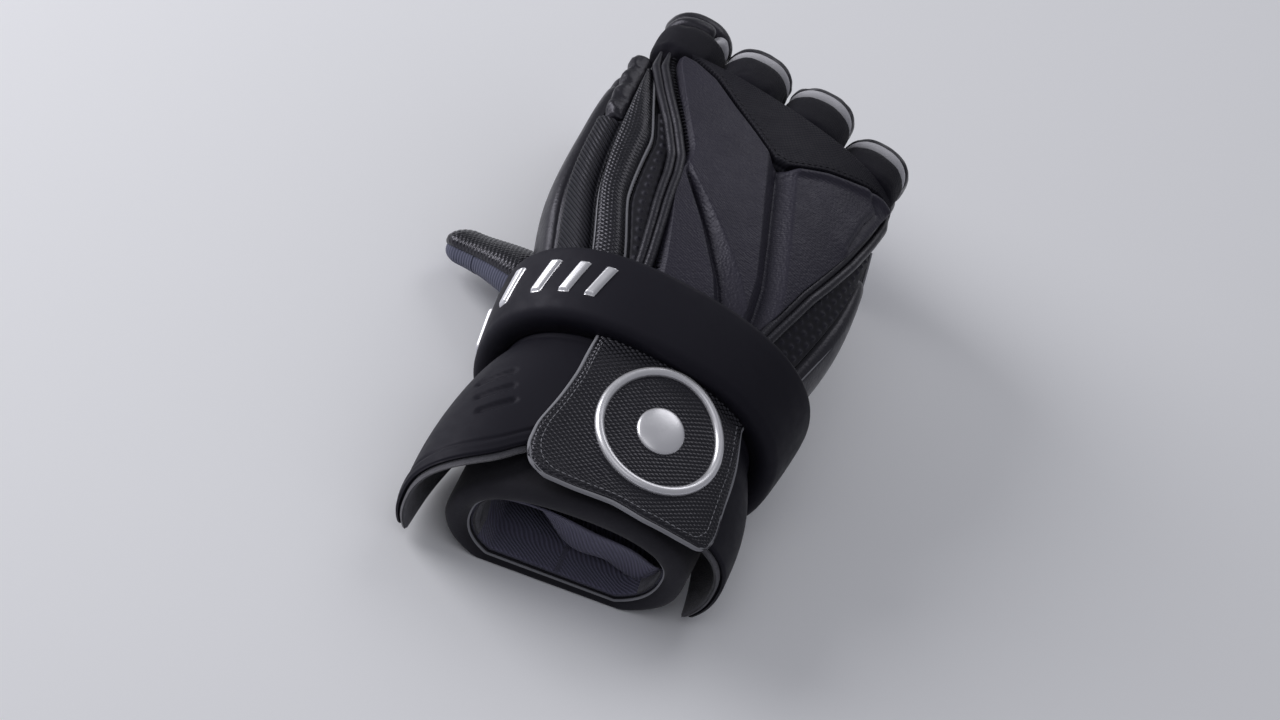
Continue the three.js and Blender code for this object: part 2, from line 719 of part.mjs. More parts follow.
// The skin of the hand, open at the wrist and into every digit.
function handSkin() {
  const hollow = loft(
    [-past, ...handStations.slice(1, -1), 1 - handWall / handLength].map((along) => {
      return ringOf(handForm(along), -handWall);
    }),
  );
  let skin = handBody(0).subtract(hollow);
  for (const digit of [...digits, thumb]) {
    skin = skin.subtract(digitSolid(digit, -fingerWall, 0, digit.opens));
  }
  return skin;
}

function backPad(pad) {
  const edges = (along) => {
    const seams = rowAt(backSeams, along);
    return { left: seams[pad.left], right: seams[pad.right] };
  };
  const columns = pad.name === "back_shell" ? 8 : 4;
  const stations = between(padStations, pad.from, pad.to);
  return padOn(handForm, edges, { stations, wall: pad.wall, columns }).subtract(handBody(gap));
}

// A prism in plan over an outline on the hand, grown outwards by a clearance.
function planPrism(outline, grow) {
  const points = outline.map(({ along, across }) => {
    const section = handForm(along);
    return new THREE.Vector2(section.x + across * section.half, section.y + section.skew * across);
  });
  const centre = points.reduce((sum, p) => sum.add(p), new THREE.Vector2()).divideScalar(points.length);
  const grown = points.map((p) => p.clone().add(p.clone().sub(centre).normalize().multiplyScalar(grow)));
  const tall = { depth: 2 * knuckleTop, bevelEnabled: false };
  return fromGeometry(new THREE.ExtrudeGeometry(new THREE.Shape(grown), tall));
}

// A V groove on the shell: its sides start above the surface, its edge lies grooveDepth below.
function grooveCut({ from, to }) {
  const rings = spread(3, 0, 1).map((t) => {
    const along = THREE.MathUtils.lerp(from.along, to.along, t);
    const across = THREE.MathUtils.lerp(from.across, to.across, t);
    const section = handForm(along);
    const aside = grooveWidth / section.half;
    const rise = shellWall + grooveDepth;
    return [
      pointOn(section, angleAt(across - aside), rise),
      pointOn(section, angleAt(across + aside), rise),
      pointOn(section, angleAt(across), shellWall - grooveDepth),
    ];
  });
  return loft(rings);
}

function backShell(pad) {
  let shell = backPad(pad).subtract(planPrism(knucklePanel, gap));
  for (const groove of grooves) shell = shell.subtract(grooveCut(groove));
  return shell;
}

function panelOnKnuckles() {
  const { from, to, left } = knucklePanelReach;
  const edges = (along) => ({ left, right: rowAt(backSeams, along).railLittle });
  const stations = between(padStations, from, to);
  const raw = padOn(handForm, edges, { stations, wall: knucklePanelWall, columns: 7, soft: 0.1 });
  return raw.subtract(handBody(gap)).intersect(planPrism(knucklePanel, 0));
}

function palmPatch() {
  const { from, to, left, right } = palmPatchReach;
  const edges = () => ({ left, right });
  const stations = between(padStations, from, to);
  const raw = padOn(handForm, edges, { stations, wall: patchWall, columns: 4 });
  return raw.subtract(handBody(gap)).subtract(digitSolid(thumb, gap, 0, 1));
}

const glove = new THREE.Group();

function add(name, solid, look) {
  const { numProp, vertProperties, triVerts } = solid.getMesh();
  const positions = [];
  for (let i = 0; i < vertProperties.length; i += numProp) positions.push(...vertProperties.slice(i, i + 3));
  const geometry = new THREE.BufferGeometry();
  geometry.setAttribute("position", new THREE.Float32BufferAttribute(positions, 3));
  geometry.setIndex(Array.from(triVerts));
  geometry.computeVertexNormals();
  const mesh = new THREE.Mesh(geometry, new THREE.MeshStandardMaterial(looks[look]));
  mesh.name = name;
  glove.add(mesh);
}

add("cuff_collar", collar(), "foam");
add("cuff_lining", lining(), "lining");
add("cuff_flap_thumb", flapCut(flapThumb()), "rubber");
add("cuff_flap_little", flapCut(flapLittle()), "rubber");
add("cuff_shield", shield(), "carbon");
add("badge_ring", badgeRing(), "silver");
add("badge_button", badgeButton(), "silver");
add("wrist_band", band(), "rubber");
for (const bar of bars()) add(bar.name, bar.solid, "silver");

add("hand_body", handSkin(), "leather");
for (const pad of backPads) {
  let solid = pad.name === "back_shell" ? backShell(pad) : backPad(pad);
  if (pad.name === "side_wall_thumb") solid = solid.subtract(digitSolid(thumb, gap, 0, 1));
  add(pad.name, solid, pad.colour);
}
add("knuckle_panel", panelOnKnuckles(), "carbon");
add("palm_patch", palmPatch(), "leather");

for (const digit of digits) {
  add(`${digit.name}_finger`, digitSkin(digit), "leather");
  add(`${digit.name}_cap`, digitCap(digit), "grey");
  for (const pad of fingerPads) add(`${digit.name}_${pad.name}`, wrapOn(digit, pad), pad.colour);
}
add("thumb", digitSkin(thumb), "grey");
add("thumb_cap", digitCap(thumb), "grey");
add("thumb_pad", thumbPad(), "carbon");

// Centre the glove over the origin, standing on z = 0.
const box = new THREE.Box3().setFromObject(glove);
glove.position.set(-(box.min.x + box.max.x) / 2, -(box.min.y + box.max.y) / 2, -box.min.z);

export default glove;
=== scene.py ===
import math
import bpy
import numpy as np
from mathutils import Matrix, Vector


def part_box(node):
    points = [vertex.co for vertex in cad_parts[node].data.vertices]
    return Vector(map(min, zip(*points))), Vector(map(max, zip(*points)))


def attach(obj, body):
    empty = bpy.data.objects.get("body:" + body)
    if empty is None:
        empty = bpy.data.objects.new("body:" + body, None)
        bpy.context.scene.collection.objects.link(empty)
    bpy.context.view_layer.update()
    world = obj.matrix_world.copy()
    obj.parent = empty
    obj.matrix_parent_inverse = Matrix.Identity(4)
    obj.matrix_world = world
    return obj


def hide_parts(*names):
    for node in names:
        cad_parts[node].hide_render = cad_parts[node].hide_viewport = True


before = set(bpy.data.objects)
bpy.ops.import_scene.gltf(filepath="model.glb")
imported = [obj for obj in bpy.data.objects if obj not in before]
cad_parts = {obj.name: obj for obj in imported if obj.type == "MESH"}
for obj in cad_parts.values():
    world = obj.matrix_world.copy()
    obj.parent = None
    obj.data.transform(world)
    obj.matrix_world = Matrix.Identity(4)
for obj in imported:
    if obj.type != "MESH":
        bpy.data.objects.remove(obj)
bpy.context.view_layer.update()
print("frame loaded:", len(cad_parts), "nodes")

# Forms of the hand and the cuff, in millimetres from the middle of the cuff's open end
squareness = 2.35  # exponent of the rounded sections
hand = {"length": 155, "wide": 128, "tall": 97, "skew": -8, "start": 78}
cuff = {"length": 78, "wide": 104, "tall": 51, "skew": 10, "start": 0}
# share along, half width, top, bottom, shift to the side, skew
handRows = [
    (0.00, 0.855, 0.745, 0.06, 0.06, 0.0),
    (0.16, 0.920, 0.830, 0.14, 0.06, 0.1),
    (0.42, 1.070, 0.920, 0.30, 0.02, 0.3),
    (0.72, 1.080, 0.980, 0.47, -0.01, 0.7),
    (1.00, 1.040, 1.000, 0.60, -0.04, 1.0),
]
cuffRows = [
    (-0.08, 1.00, 0.98, -0.10, 0.15, 1.0),
    (0.10, 1.01, 1.04, -0.10, 0.14, 0.85),
    (0.50, 1.02, 1.18, -0.08, 0.12, 0.4),
    (0.80, 1.03, 1.32, 0.03, 0.08, 0.1),
]
fingerLines = {  # slot in pitches, first and second joint, dip and turn in degrees, splay
    "index": (-1.45, 0.50, 0.54, 2, 56, 1),
    "middle": (-0.45, 0.50, 0.56, 7, 58, 0),
    "ring": (0.55, 0.50, 0.54, 6, 60, -2),
    "little": (1.53, 0.44, 0.48, 8, 62, -5),
}
finger = {"pitch": 33.02, "width": 28.02, "depth": 26, "length": 64, "root": 12, "tipTurn": 86}
thumbShape = {
    "length": 76, "width": 31, "depth": 20, "slope": 7, "turn": 23, "joint": 0.62, "taper": 0.4, "roll": 18,
}
gap = 0.35  # between pieces that are sewn or glued to each other
offFloor = 0.05  # nothing lies lower than this


def tableOf(rows, sizes):
    t = np.array(rows, float)
    return {
        "along": t[:, 0],
        "x": t[:, 4] * sizes["wide"] / 2,
        "y": sizes["start"] + t[:, 0] * sizes["length"],
        "half": t[:, 1] * sizes["wide"] / 2,
        "middle": sizes["tall"] * (t[:, 2] + t[:, 3]) / 2,
        "tall": sizes["tall"] * (t[:, 2] - t[:, 3]) / 2,
        "skew": sizes["skew"] * t[:, 5],
    }


handForm = tableOf(handRows, hand)
cuffForm = tableOf(cuffRows, cuff)
for column in cuffForm:  # the cuff runs into the wrist section of the hand
    cuffForm[column] = np.append(cuffForm[column], 1.0 if column == "along" else handForm[column][0])


def smoothAt(xs, ys, t):
    t = np.asarray(t, float)
    step = np.diff(xs)
    slope = np.diff(ys) / step
    inner = (slope[:-1] * step[1:] + slope[1:] * step[:-1]) / (step[1:] + step[:-1])
    m = np.concatenate([[slope[0]], inner, [slope[-1]]])
    i = np.clip(np.searchsorted(xs, t) - 1, 0, len(xs) - 2)
    h = xs[i + 1] - xs[i]
    s = (t - xs[i]) / h
    c = np.clip(s, 0, 1)
    value = (1 + 2 * c) * (1 - c) ** 2 * ys[i] + c * (1 - c) ** 2 * h * m[i]
    value = value + c**2 * (3 - 2 * c) * ys[i + 1] + c**2 * (c - 1) * h * m[i + 1]
    return value + np.minimum(s, 0) * h * m[i] + np.maximum(s - 1, 0) * h * m[i + 1]


def sectionAt(form, along):
    return {key: smoothAt(form["along"], form[key], along) for key in form if key != "along"}


def signedPower(value, power):
    return np.sign(value) * np.abs(value) ** power


def onForm(form, along, angle, lift, under=None):
    s = sectionAt(form, along)
    under = lift if under is None else under
    across = signedPower(np.sin(angle), 2 / squareness)
    rise = signedPower(np.cos(angle), 2 / squareness)
    x = s["x"] + (s["half"] + lift) * across
    z = s["middle"] + (s["tall"] + np.where(rise < 0, under, lift)) * rise
    y = s["y"] + s["skew"] * (x - s["x"]) / s["half"]
    return np.stack(np.broadcast_arrays(x, y, np.maximum(z, offFloor - np.minimum(under, 0))), -1)


def angleAt(share):
    share = np.asarray(share, float)
    size = np.abs(share)
    turned = np.arcsin(np.minimum(size, 1) ** (squareness / 2))
    return np.sign(share) * np.where(size <= 1, turned, math.pi / 2 * size)


def shareAt(angle):
    turned = np.minimum(np.abs(angle), math.pi / 2)
    return np.sign(angle) * np.maximum(np.sin(turned) ** (2 / squareness), np.abs(angle) / (math.pi / 2))


# The frame is centred over the floor, so its hand skin tells where the forms start.
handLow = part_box("hand_body")[0]
sample = onForm(handForm, handForm["along"][:, None], angleAt(np.array([[-1.0, 1.0]])), 0)
gloveShift = np.array([handLow.x * 1000 - sample[..., 0].min(), handLow.y * 1000 - hand["start"], 0])


# Mesh tools
def gridFaces(rows, columns, wrap=False):
    r, c = np.meshgrid(np.arange(rows - 1), np.arange(columns if wrap else columns - 1), indexing="ij")
    a = r * columns + c
    b = r * columns + (c + 1) % columns
    return np.stack([a, b, b + columns, a + columns], -1).reshape(-1, 4)


def loopFaces(rows, columns):
    # rings whose last row joins the first
    first = np.arange(columns)
    last = first + (rows - 1) * columns
    close = np.stack([last, np.roll(last, -1), np.roll(first, -1), first], -1)
    return np.vstack([gridFaces(rows, columns, wrap=True), close])


def part(points, quads, tris=None, uv=None):
    points = np.asarray(points, float).reshape(-1, 3)
    tris = np.zeros((0, 3), int) if tris is None else np.asarray(tris, int)
    uv = np.zeros((len(points), 2)) if uv is None else np.asarray(uv, float).reshape(-1, 2)
    return {"points": points, "quads": np.asarray(quads, int).reshape(-1, 4), "tris": tris, "uv": uv}


def outward(one):
    p = one["points"] - one["points"].mean(0)
    t = np.vstack([one["quads"][:, :3], one["quads"][:, [0, 2, 3]], one["tris"]])
    if np.einsum("ij,ij->i", p[t[:, 0]], np.cross(p[t[:, 1]], p[t[:, 2]])).sum() < 0:
        one["quads"] = one["quads"][:, ::-1]
        one["tris"] = one["tris"][:, ::-1]
    return one


def joined(parts):
    count, points, quads, tris, uv = 0, [], [], [], []
    for one in parts:
        points.append(one["points"])
        quads.append(one["quads"] + count)
        tris.append(one["tris"] + count)
        uv.append(one["uv"])
        count += len(one["points"])
    return {
        "points": np.vstack(points), "quads": np.vstack(quads), "tris": np.vstack(tris), "uv": np.vstack(uv),
    }


def addPiece(name, one, material, nodes=()):
    mesh = bpy.data.meshes.new(name)
    points = (one["points"] + gloveShift) / 1000
    quads, tris = one["quads"], one["tris"]
    corners = np.concatenate([quads.ravel(), tris.ravel()]).astype(np.int32)
    starts = np.concatenate([np.arange(len(quads)) * 4, len(quads) * 4 + np.arange(len(tris)) * 3])
    mesh.vertices.add(len(points))
    mesh.vertices.foreach_set("co", points.astype(np.float32).ravel())
    mesh.loops.add(len(corners))
    mesh.loops.foreach_set("vertex_index", corners)
    mesh.polygons.add(len(starts))
    mesh.polygons.foreach_set("loop_start", starts.astype(np.int32))
    mesh.polygons.foreach_set("use_smooth", np.ones(len(starts), bool))
    mesh.update(calc_edges=True)
    layer = mesh.uv_layers.new(name="surface")
    layer.data.foreach_set("uv", (one["uv"][corners] / 1000).astype(np.float32).ravel())
    mesh.validate()
    mesh.materials.append(material)
    piece = bpy.data.objects.new(name, mesh)
    bpy.context.scene.collection.objects.link(piece)
    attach(piece, "root")
    if nodes:
        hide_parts(*nodes)
    return piece


def endFans(rows, columns):
    # triangles from the first and last ring to the two points that follow the rings
    k = np.arange(columns)
    end = (rows - 1) * columns
    low = np.stack([np.roll(k, -1), k, np.full(columns, rows * columns)], -1)
    high = np.stack([end + k, end + np.roll(k, -1), np.full(columns, rows * columns + 1)], -1)
    return np.vstack([low, high])


def capped(grid, first, last, uv=None):
    # rings of points, closed by fans at both ends
    rows, columns = grid.shape[:2]
    uv = gridUv(grid) if uv is None else uv
    uv = np.vstack([uv.reshape(-1, 2), uv[0, :1], uv[-1, :1]])
    points = np.vstack([grid.reshape(-1, 3), first, last])
    return outward(part(points, gridFaces(rows, columns, wrap=True), endFans(rows, columns), uv))


def arcLength(points):
    return np.concatenate([[0], np.cumsum(np.linalg.norm(np.diff(points, axis=0), axis=1))])


def resample(points, count):
    length = arcLength(points)
    at = np.linspace(0, length[-1], count)
    return np.stack([np.interp(at, length, points[:, k]) for k in range(points.shape[1])], -1)


def smoothLine(points, count=80, rounds=2):
    line = resample(np.asarray(points, float), count)
    for _ in range(rounds):
        line[1:-1] = (line[:-2] + 2 * line[1:-1] + line[2:]) / 4
    return line


def unit(v):
    return v / np.maximum(np.linalg.norm(v, axis=-1, keepdims=True), 1e-9)


def tube(line, normals, radius, sides=8, flat=1.0, closed=False):
    # a tube along a line; flat is its height over its width
    tangent = np.gradient(line, axis=0) if not closed else np.roll(line, -1, 0) - np.roll(line, 1, 0)
    tangent = unit(tangent)
    side = unit(np.cross(tangent, normals))
    up = np.cross(side, tangent)
    radius = np.broadcast_to(np.asarray(radius, float), (len(line),))
    turn = np.linspace(0, 2 * math.pi, sides, endpoint=False)
    ring = side[:, None] * np.cos(turn)[None, :, None] + flat * up[:, None] * np.sin(turn)[None, :, None]
    points = line[:, None] + ring * radius[:, None, None]
    uv = np.stack(np.broadcast_arrays(arcLength(line)[:, None], turn[None, :] * radius.mean()), -1)
    if closed:
        return outward(part(points, loopFaces(len(line), sides), uv=uv))
    start, end = line[0] - tangent[0] * radius[0] * 0.6, line[-1] + tangent[-1] * radius[-1] * 0.6
    return capped(points, start, end, uv)


def stitches(line, normals, pitch=3.4, length=2.3, radius=0.33, sink=0.1):
    total = arcLength(line)
    count = max(2, int(total[-1] / pitch))
    made = []
    for at in (np.arange(count) + 0.5) * total[-1] / count:
        ends = np.array([at - length / 2, at, at + length / 2])
        run = np.stack([np.interp(ends, total, line[:, k]) for k in range(3)], -1)
        up = unit(np.stack([np.interp(ends, total, normals[:, k]) for k in range(3)], -1))
        run += up * np.array([[-radius * 0.7], [radius * 0.7 - sink], [-radius * 0.7]])
        made.append(tube(run, up, [radius * 0.7, radius, radius * 0.7], sides=6))
    return joined(made)


def gridUv(grid):
    across = np.linalg.norm(np.diff(grid, axis=1), axis=2)
    u = np.concatenate([np.zeros((len(grid), 1)), np.cumsum(across, 1)], 1)
    u = u - u[:, -1:] / 2
    along = np.linalg.norm(np.diff(grid[:, grid.shape[1] // 2], axis=0), axis=1)
    v = np.concatenate([[0], np.cumsum(along)])
    return np.stack(np.broadcast_arrays(u, v[:, None]), -1)


def rimOf(rows, columns):
    # numbers of the points round the rim of a grid, in order
    r = np.concatenate([np.zeros(columns - 1), np.arange(rows - 1), np.full(columns - 1, rows - 1),
                        np.arange(rows - 1, 0, -1)]).astype(int)
    c = np.concatenate([np.arange(columns - 1), np.full(rows - 1, columns - 1), np.arange(columns - 1, 0, -1),
                        np.zeros(rows - 1)]).astype(int)
    return r * columns + c


def closedOver(top, low, uv):
    # a pad's upper surface, a wall down to a lower rim and a fan that closes it underneath
    rows, columns = top.shape[:2]
    loop = rimOf(rows, columns)
    count = rows * columns
    k = np.arange(len(loop))
    nxt = np.roll(k, -1)
    walls = np.stack([loop, loop[nxt], count + nxt, count + k], -1)
    fan = np.stack([count + k, count + nxt, np.full(len(loop), count + len(loop))], -1)
    lowRim = low.reshape(-1, 3)[loop]
    flatUv = uv.reshape(-1, 2)
    points = np.vstack([top.reshape(-1, 3), lowRim, lowRim.mean(0)])
    uv = np.vstack([flatUv, flatUv[loop], flatUv.mean(0)])
    return outward(part(points, np.vstack([gridFaces(rows, columns), walls]), fan, uv))


def rounded(distance, radius):
    t = np.clip(distance / radius, 0, 1)
    return np.sqrt(np.maximum(1 - (1 - t) ** 2, 0))


def bell(distance, width):
    return np.exp(-((distance / width) ** 2))


def spaced(count, crowd=0.35):
    # shares from 0 to 1 that crowd towards both ends
    t = np.linspace(0, 1, count)
    return (1 - crowd) * t + crowd * (1 - np.cos(math.pi * t)) / 2


def curveOf(*pairs):
    # a smooth function through pairs of numbers, level past its ends
    xs, ys = np.array(pairs, float).T
    return lambda t: smoothAt(xs, ys, np.clip(t, xs[0], xs[-1]))


def scalesAt(u, v, pitch, squash=0.8):
    # small domed lozenges, from 0 in the furrows to 1 on top
    across = np.sin(math.pi * (u + v / squash) / pitch)
    back = np.sin(math.pi * (u - v / squash) / pitch)
    return np.abs(across * back) ** 0.7


def ribsAt(u, v, pitch, slant):
    return 0.5 + 0.5 * np.sin(2 * math.pi * (u * math.cos(slant) + v * math.sin(slant)) / pitch)


def lineDistance(x, y, line):
    # distance to a line in plan, the side it lies on (positive to the right of its run) and the share
    best = np.full(np.shape(x), 1e9)
    side = np.zeros(np.shape(x))
    share = np.zeros(np.shape(x))
    length = arcLength(line)
    for a, b, la, lb in zip(line[:-1], line[1:], length[:-1], length[1:]):
        d = b - a
        t = np.clip(((x - a[0]) * d[0] + (y - a[1]) * d[1]) / (d @ d), 0, 1)
        gx, gy = x - a[0] - t * d[0], y - a[1] - t * d[1]
        gone = np.hypot(gx, gy)
        near = gone < best
        best = np.where(near, gone, best)
        side = np.where(near, np.sign(gx * d[1] - gy * d[0]), side)
        share = np.where(near, (la + t * (lb - la)) / length[-1], share)
    return best, side, share


def smoothStep(t):
    t = np.clip(t, 0, 1)
    return t * t * (3 - 2 * t)


def layOut(form, edges, counts, crowd, lift):
    # a grid over a form between four edges, with its distances from them
    rows, columns = counts
    left, right, start, end = edges
    u = spaced(columns, crowd)[None, :]
    v = spaced(rows, crowd)[:, None]
    along = (start(0 * u) + end(0 * u)) / 2 + 0 * v
    for _ in range(6):
        angle = angleAt(left(along)) * (1 - u) + angleAt(right(along)) * u
        across = shareAt(angle)
        along = start(across) * (1 - v) + end(across) * v
    ground = onForm(form, along, angle, lift(along, angle))
    uv = gridUv(ground)
    wide = np.linalg.norm(np.diff(ground, axis=1), axis=2).sum(1)[:, None]
    tall = np.linalg.norm(np.diff(ground, axis=0), axis=2).sum(0)[None, :]
    return {
        "left": u * wide, "right": (1 - u) * wide, "start": v * tall, "end": (1 - v) * tall,
        "x": ground[..., 0], "y": ground[..., 1], "u": uv[..., 0], "v": uv[..., 1], "uv": uv,
        "along": along, "angle": angle, "across": across,
    }


def pad(form, edges, counts, height, base=gap, sunk=1.6):
    w = layOut(form, edges, counts, 0.35, lambda a, g: base + 0 * a)
    top = onForm(form, w["along"], w["angle"], base + height(w))
    low = onForm(form, w["along"], w["angle"], base - sunk)
    return closedOver(top, low, w["uv"])


def rim(w, sides, ends):
    edge = rounded(np.minimum(w["left"], w["right"]), sides)
    return edge * rounded(np.minimum(w["start"], w["end"]), ends)


def slabOver(form, edges, counts, low, high, radius, relief=None):
    # a sheet with thickness and rounded rims, between two lifts
    w = layOut(form, edges, counts, 0.6, high)
    edge = rim(w, radius, radius)
    half = (high(w["along"], w["angle"]) - low(w["along"], w["angle"])) / 2
    middle = (high(w["along"], w["angle"]) + low(w["along"], w["angle"])) / 2
    raised = relief(w) * edge if relief else 0
    top = onForm(form, w["along"], w["angle"], middle + half * edge + raised)
    bottom = onForm(form, w["along"], w["angle"], middle - half * edge - 0.02)
    rows, columns = counts
    count = rows * columns
    loop = rimOf(rows, columns)
    nxt = np.roll(loop, -1)
    walls = np.stack([loop, nxt, count + nxt, count + loop], -1)
    faces = gridFaces(rows, columns)
    points = np.vstack([top.reshape(-1, 3), bottom.reshape(-1, 3)])
    uv = np.vstack([w["uv"].reshape(-1, 2)] * 2)
    return outward(part(points, np.vstack([faces, faces[:, ::-1] + count, walls]), uv=uv))


# Materials
def srgb(red, green, blue):
    values = [c / 255 for c in (red, green, blue)]
    return tuple(c / 12.92 if c <= 0.04045 else ((c + 0.055) / 1.055) ** 2.4 for c in values) + (1.0,)


def addNode(tree, kind, inputs=None, **settings):
    node = tree.nodes.new(kind)
    for key, value in settings.items():
        setattr(node, key, value)
    for key, value in (inputs or {}).items():
        if isinstance(value, bpy.types.NodeSocket):
            tree.links.new(value, node.inputs[key])
        else:
            node.inputs[key].default_value = value
    return node


def mathNode(tree, operation, a, b=None):
    inputs = {0: a} if b is None else {0: a, 1: b}
    return addNode(tree, "ShaderNodeMath", inputs, operation=operation).outputs[0]


def noise(tree, where, scale, detail=3.0, rough=0.55):
    inputs = {"Vector": where, "Scale": scale, "Detail": detail, "Roughness": rough}
    return addNode(tree, "ShaderNodeTexNoise", inputs).outputs["Fac"]


def surfaceAxes(tree):
    uv = addNode(tree, "ShaderNodeUVMap", uv_map="surface").outputs[0]
    split = addNode(tree, "ShaderNodeSeparateXYZ", {0: uv})
    return split.outputs[0], split.outputs[1]


def times(tree, a, b):
    return mathNode(tree, "MULTIPLY", a, b)


def plus(tree, a, b):
    return mathNode(tree, "ADD", a, b)


def wave(tree, value, pitch):
    return mathNode(tree, "SINE", times(tree, value, 2 * math.pi / pitch))


def grainHeight(tree, where, cell=0.0009):
    cells = addNode(tree, "ShaderNodeTexVoronoi", {"Vector": where, "Scale": 1 / cell, "Randomness": 1.0},
                    feature="SMOOTH_F1")
    fine = noise(tree, where, 0.6 / cell, 4.0)
    return plus(tree, times(tree, cells.outputs["Distance"], -0.7), times(tree, fine, 0.7))


def linedGrain(tree, where):
    return plus(tree, grainHeight(tree, where, 0.0012), times(tree, ribsHeight(tree, 0.0011, 1.3), 0.14))


def dotsHeight(tree, pitch=0.0027, squash=0.8):
    u, v = surfaceAxes(tree)
    v = times(tree, v, 1 / squash)
    a = wave(tree, plus(tree, u, v), pitch * 2)
    b = wave(tree, mathNode(tree, "SUBTRACT", u, v), pitch * 2)
    product = mathNode(tree, "ABSOLUTE", times(tree, a, b))
    return mathNode(tree, "POWER", product, 0.7)


def ribsHeight(tree, pitch, slant=0.0):
    u, v = surfaceAxes(tree)
    value = plus(tree, times(tree, u, math.cos(slant)), times(tree, v, math.sin(slant)))
    return times(tree, plus(tree, wave(tree, value, pitch), 1.0), 0.5)


def weaveHeight(tree, pitch):
    where = addNode(tree, "ShaderNodeTexCoord").outputs["Object"]
    split = addNode(tree, "ShaderNodeSeparateXYZ", {0: where})
    x = plus(tree, split.outputs[0], times(tree, split.outputs[2], 0.6))
    y = plus(tree, split.outputs[1], times(tree, split.outputs[2], 0.8))
    a = mathNode(tree, "ABSOLUTE", wave(tree, x, pitch))
    b = mathNode(tree, "ABSOLUTE", wave(tree, y, pitch))
    return mathNode(tree, "MAXIMUM", a, b)


coolShine = (0.88, 0.86, 1.0, 1.0)  # the faint violet in the highlights of all that isn't metal


def finish(name, look):
    # one finish: colour with soft variation, roughness with variation, a bump from its own pattern and, in
    # some, painted shade in the low parts of that pattern
    material = bpy.data.materials.new(name)
    material.use_nodes = True
    tree = material.node_tree
    shader = tree.nodes["Principled BSDF"]
    where = addNode(tree, "ShaderNodeTexCoord").outputs["Object"]
    soft = noise(tree, where, look.get("patch", 45.0), 5.0)
    vary, roughVary = look.get("vary", 0.75), look.get("roughVary", 0.06)
    dark = tuple(c * vary for c in look["colour"][:3]) + (1.0,)
    light = tuple(min(1, c * (2 - vary)) for c in look["colour"][:3]) + (1.0,)
    mix = addNode(tree, "ShaderNodeMix", {0: soft, 6: dark, 7: light}, data_type="RGBA")
    colour = mix.outputs[2]
    height = look["pattern"](tree, where)
    # painted shade: the low parts of the pattern are darker, in place of the shade that falls in its furrows
    if "hollowShade" in look:  # the low parts of the pattern are darker
        low = tuple(c * look["hollowShade"] for c in look["colour"][:3]) + (1.0,)
        colour = addNode(tree, "ShaderNodeMix", {0: height, 6: low, 7: colour}, data_type="RGBA").outputs[2]
    tree.links.new(colour, shader.inputs["Base Color"])
    spread = addNode(tree, "ShaderNodeMapRange", {
        "Value": noise(tree, where, 160.0, 3.0), "From Min": 0.3, "From Max": 0.7,
        "To Min": look["rough"] - roughVary, "To Max": look["rough"] + roughVary})
    tree.links.new(spread.outputs[0], shader.inputs["Roughness"])
    bump = addNode(tree, "ShaderNodeBump", {"Height": height, "Strength": look.get("bump", 0.5),
                                            "Distance": look.get("deep", 0.0003)})
    tree.links.new(bump.outputs[0], shader.inputs["Normal"])
    shader.inputs["Metallic"].default_value = look.get("metal", 0.0)
    shader.inputs["Specular IOR Level"].default_value = look.get("gloss", 0.5)
    if "metal" not in look:
        shader.inputs["Specular Tint"].default_value = coolShine
    shader.inputs["Sheen Weight"].default_value = look.get("sheen", 0.0)
    shader.inputs["Sheen Roughness"].default_value = 0.5
    shader.inputs["Coat Weight"].default_value = look.get("coat", 0.0)
    shader.inputs["Coat Roughness"].default_value = look.get("coatRough", 0.3)
    return material


def bumpsHeight(tree, pitch=0.0046):
    u, v = surfaceAxes(tree)
    total = wave(tree, plus(tree, u, pitch / 4), pitch)
    for lean in (0.866, -0.866):
        value = plus(tree, times(tree, u, 0.5), times(tree, v, lean))
        total = plus(tree, total, wave(tree, plus(tree, value, pitch / 4), pitch))
    return plus(tree, 0.333, times(tree, total, 0.222))


dots = {"pitch": 3.3, "squash": 0.65}  # the dots of the vinyl on the shield, the strip and the thumb


def vinylDots(tree, where):
    return dotsHeight(tree, dots["pitch"] / 1000, dots["squash"])
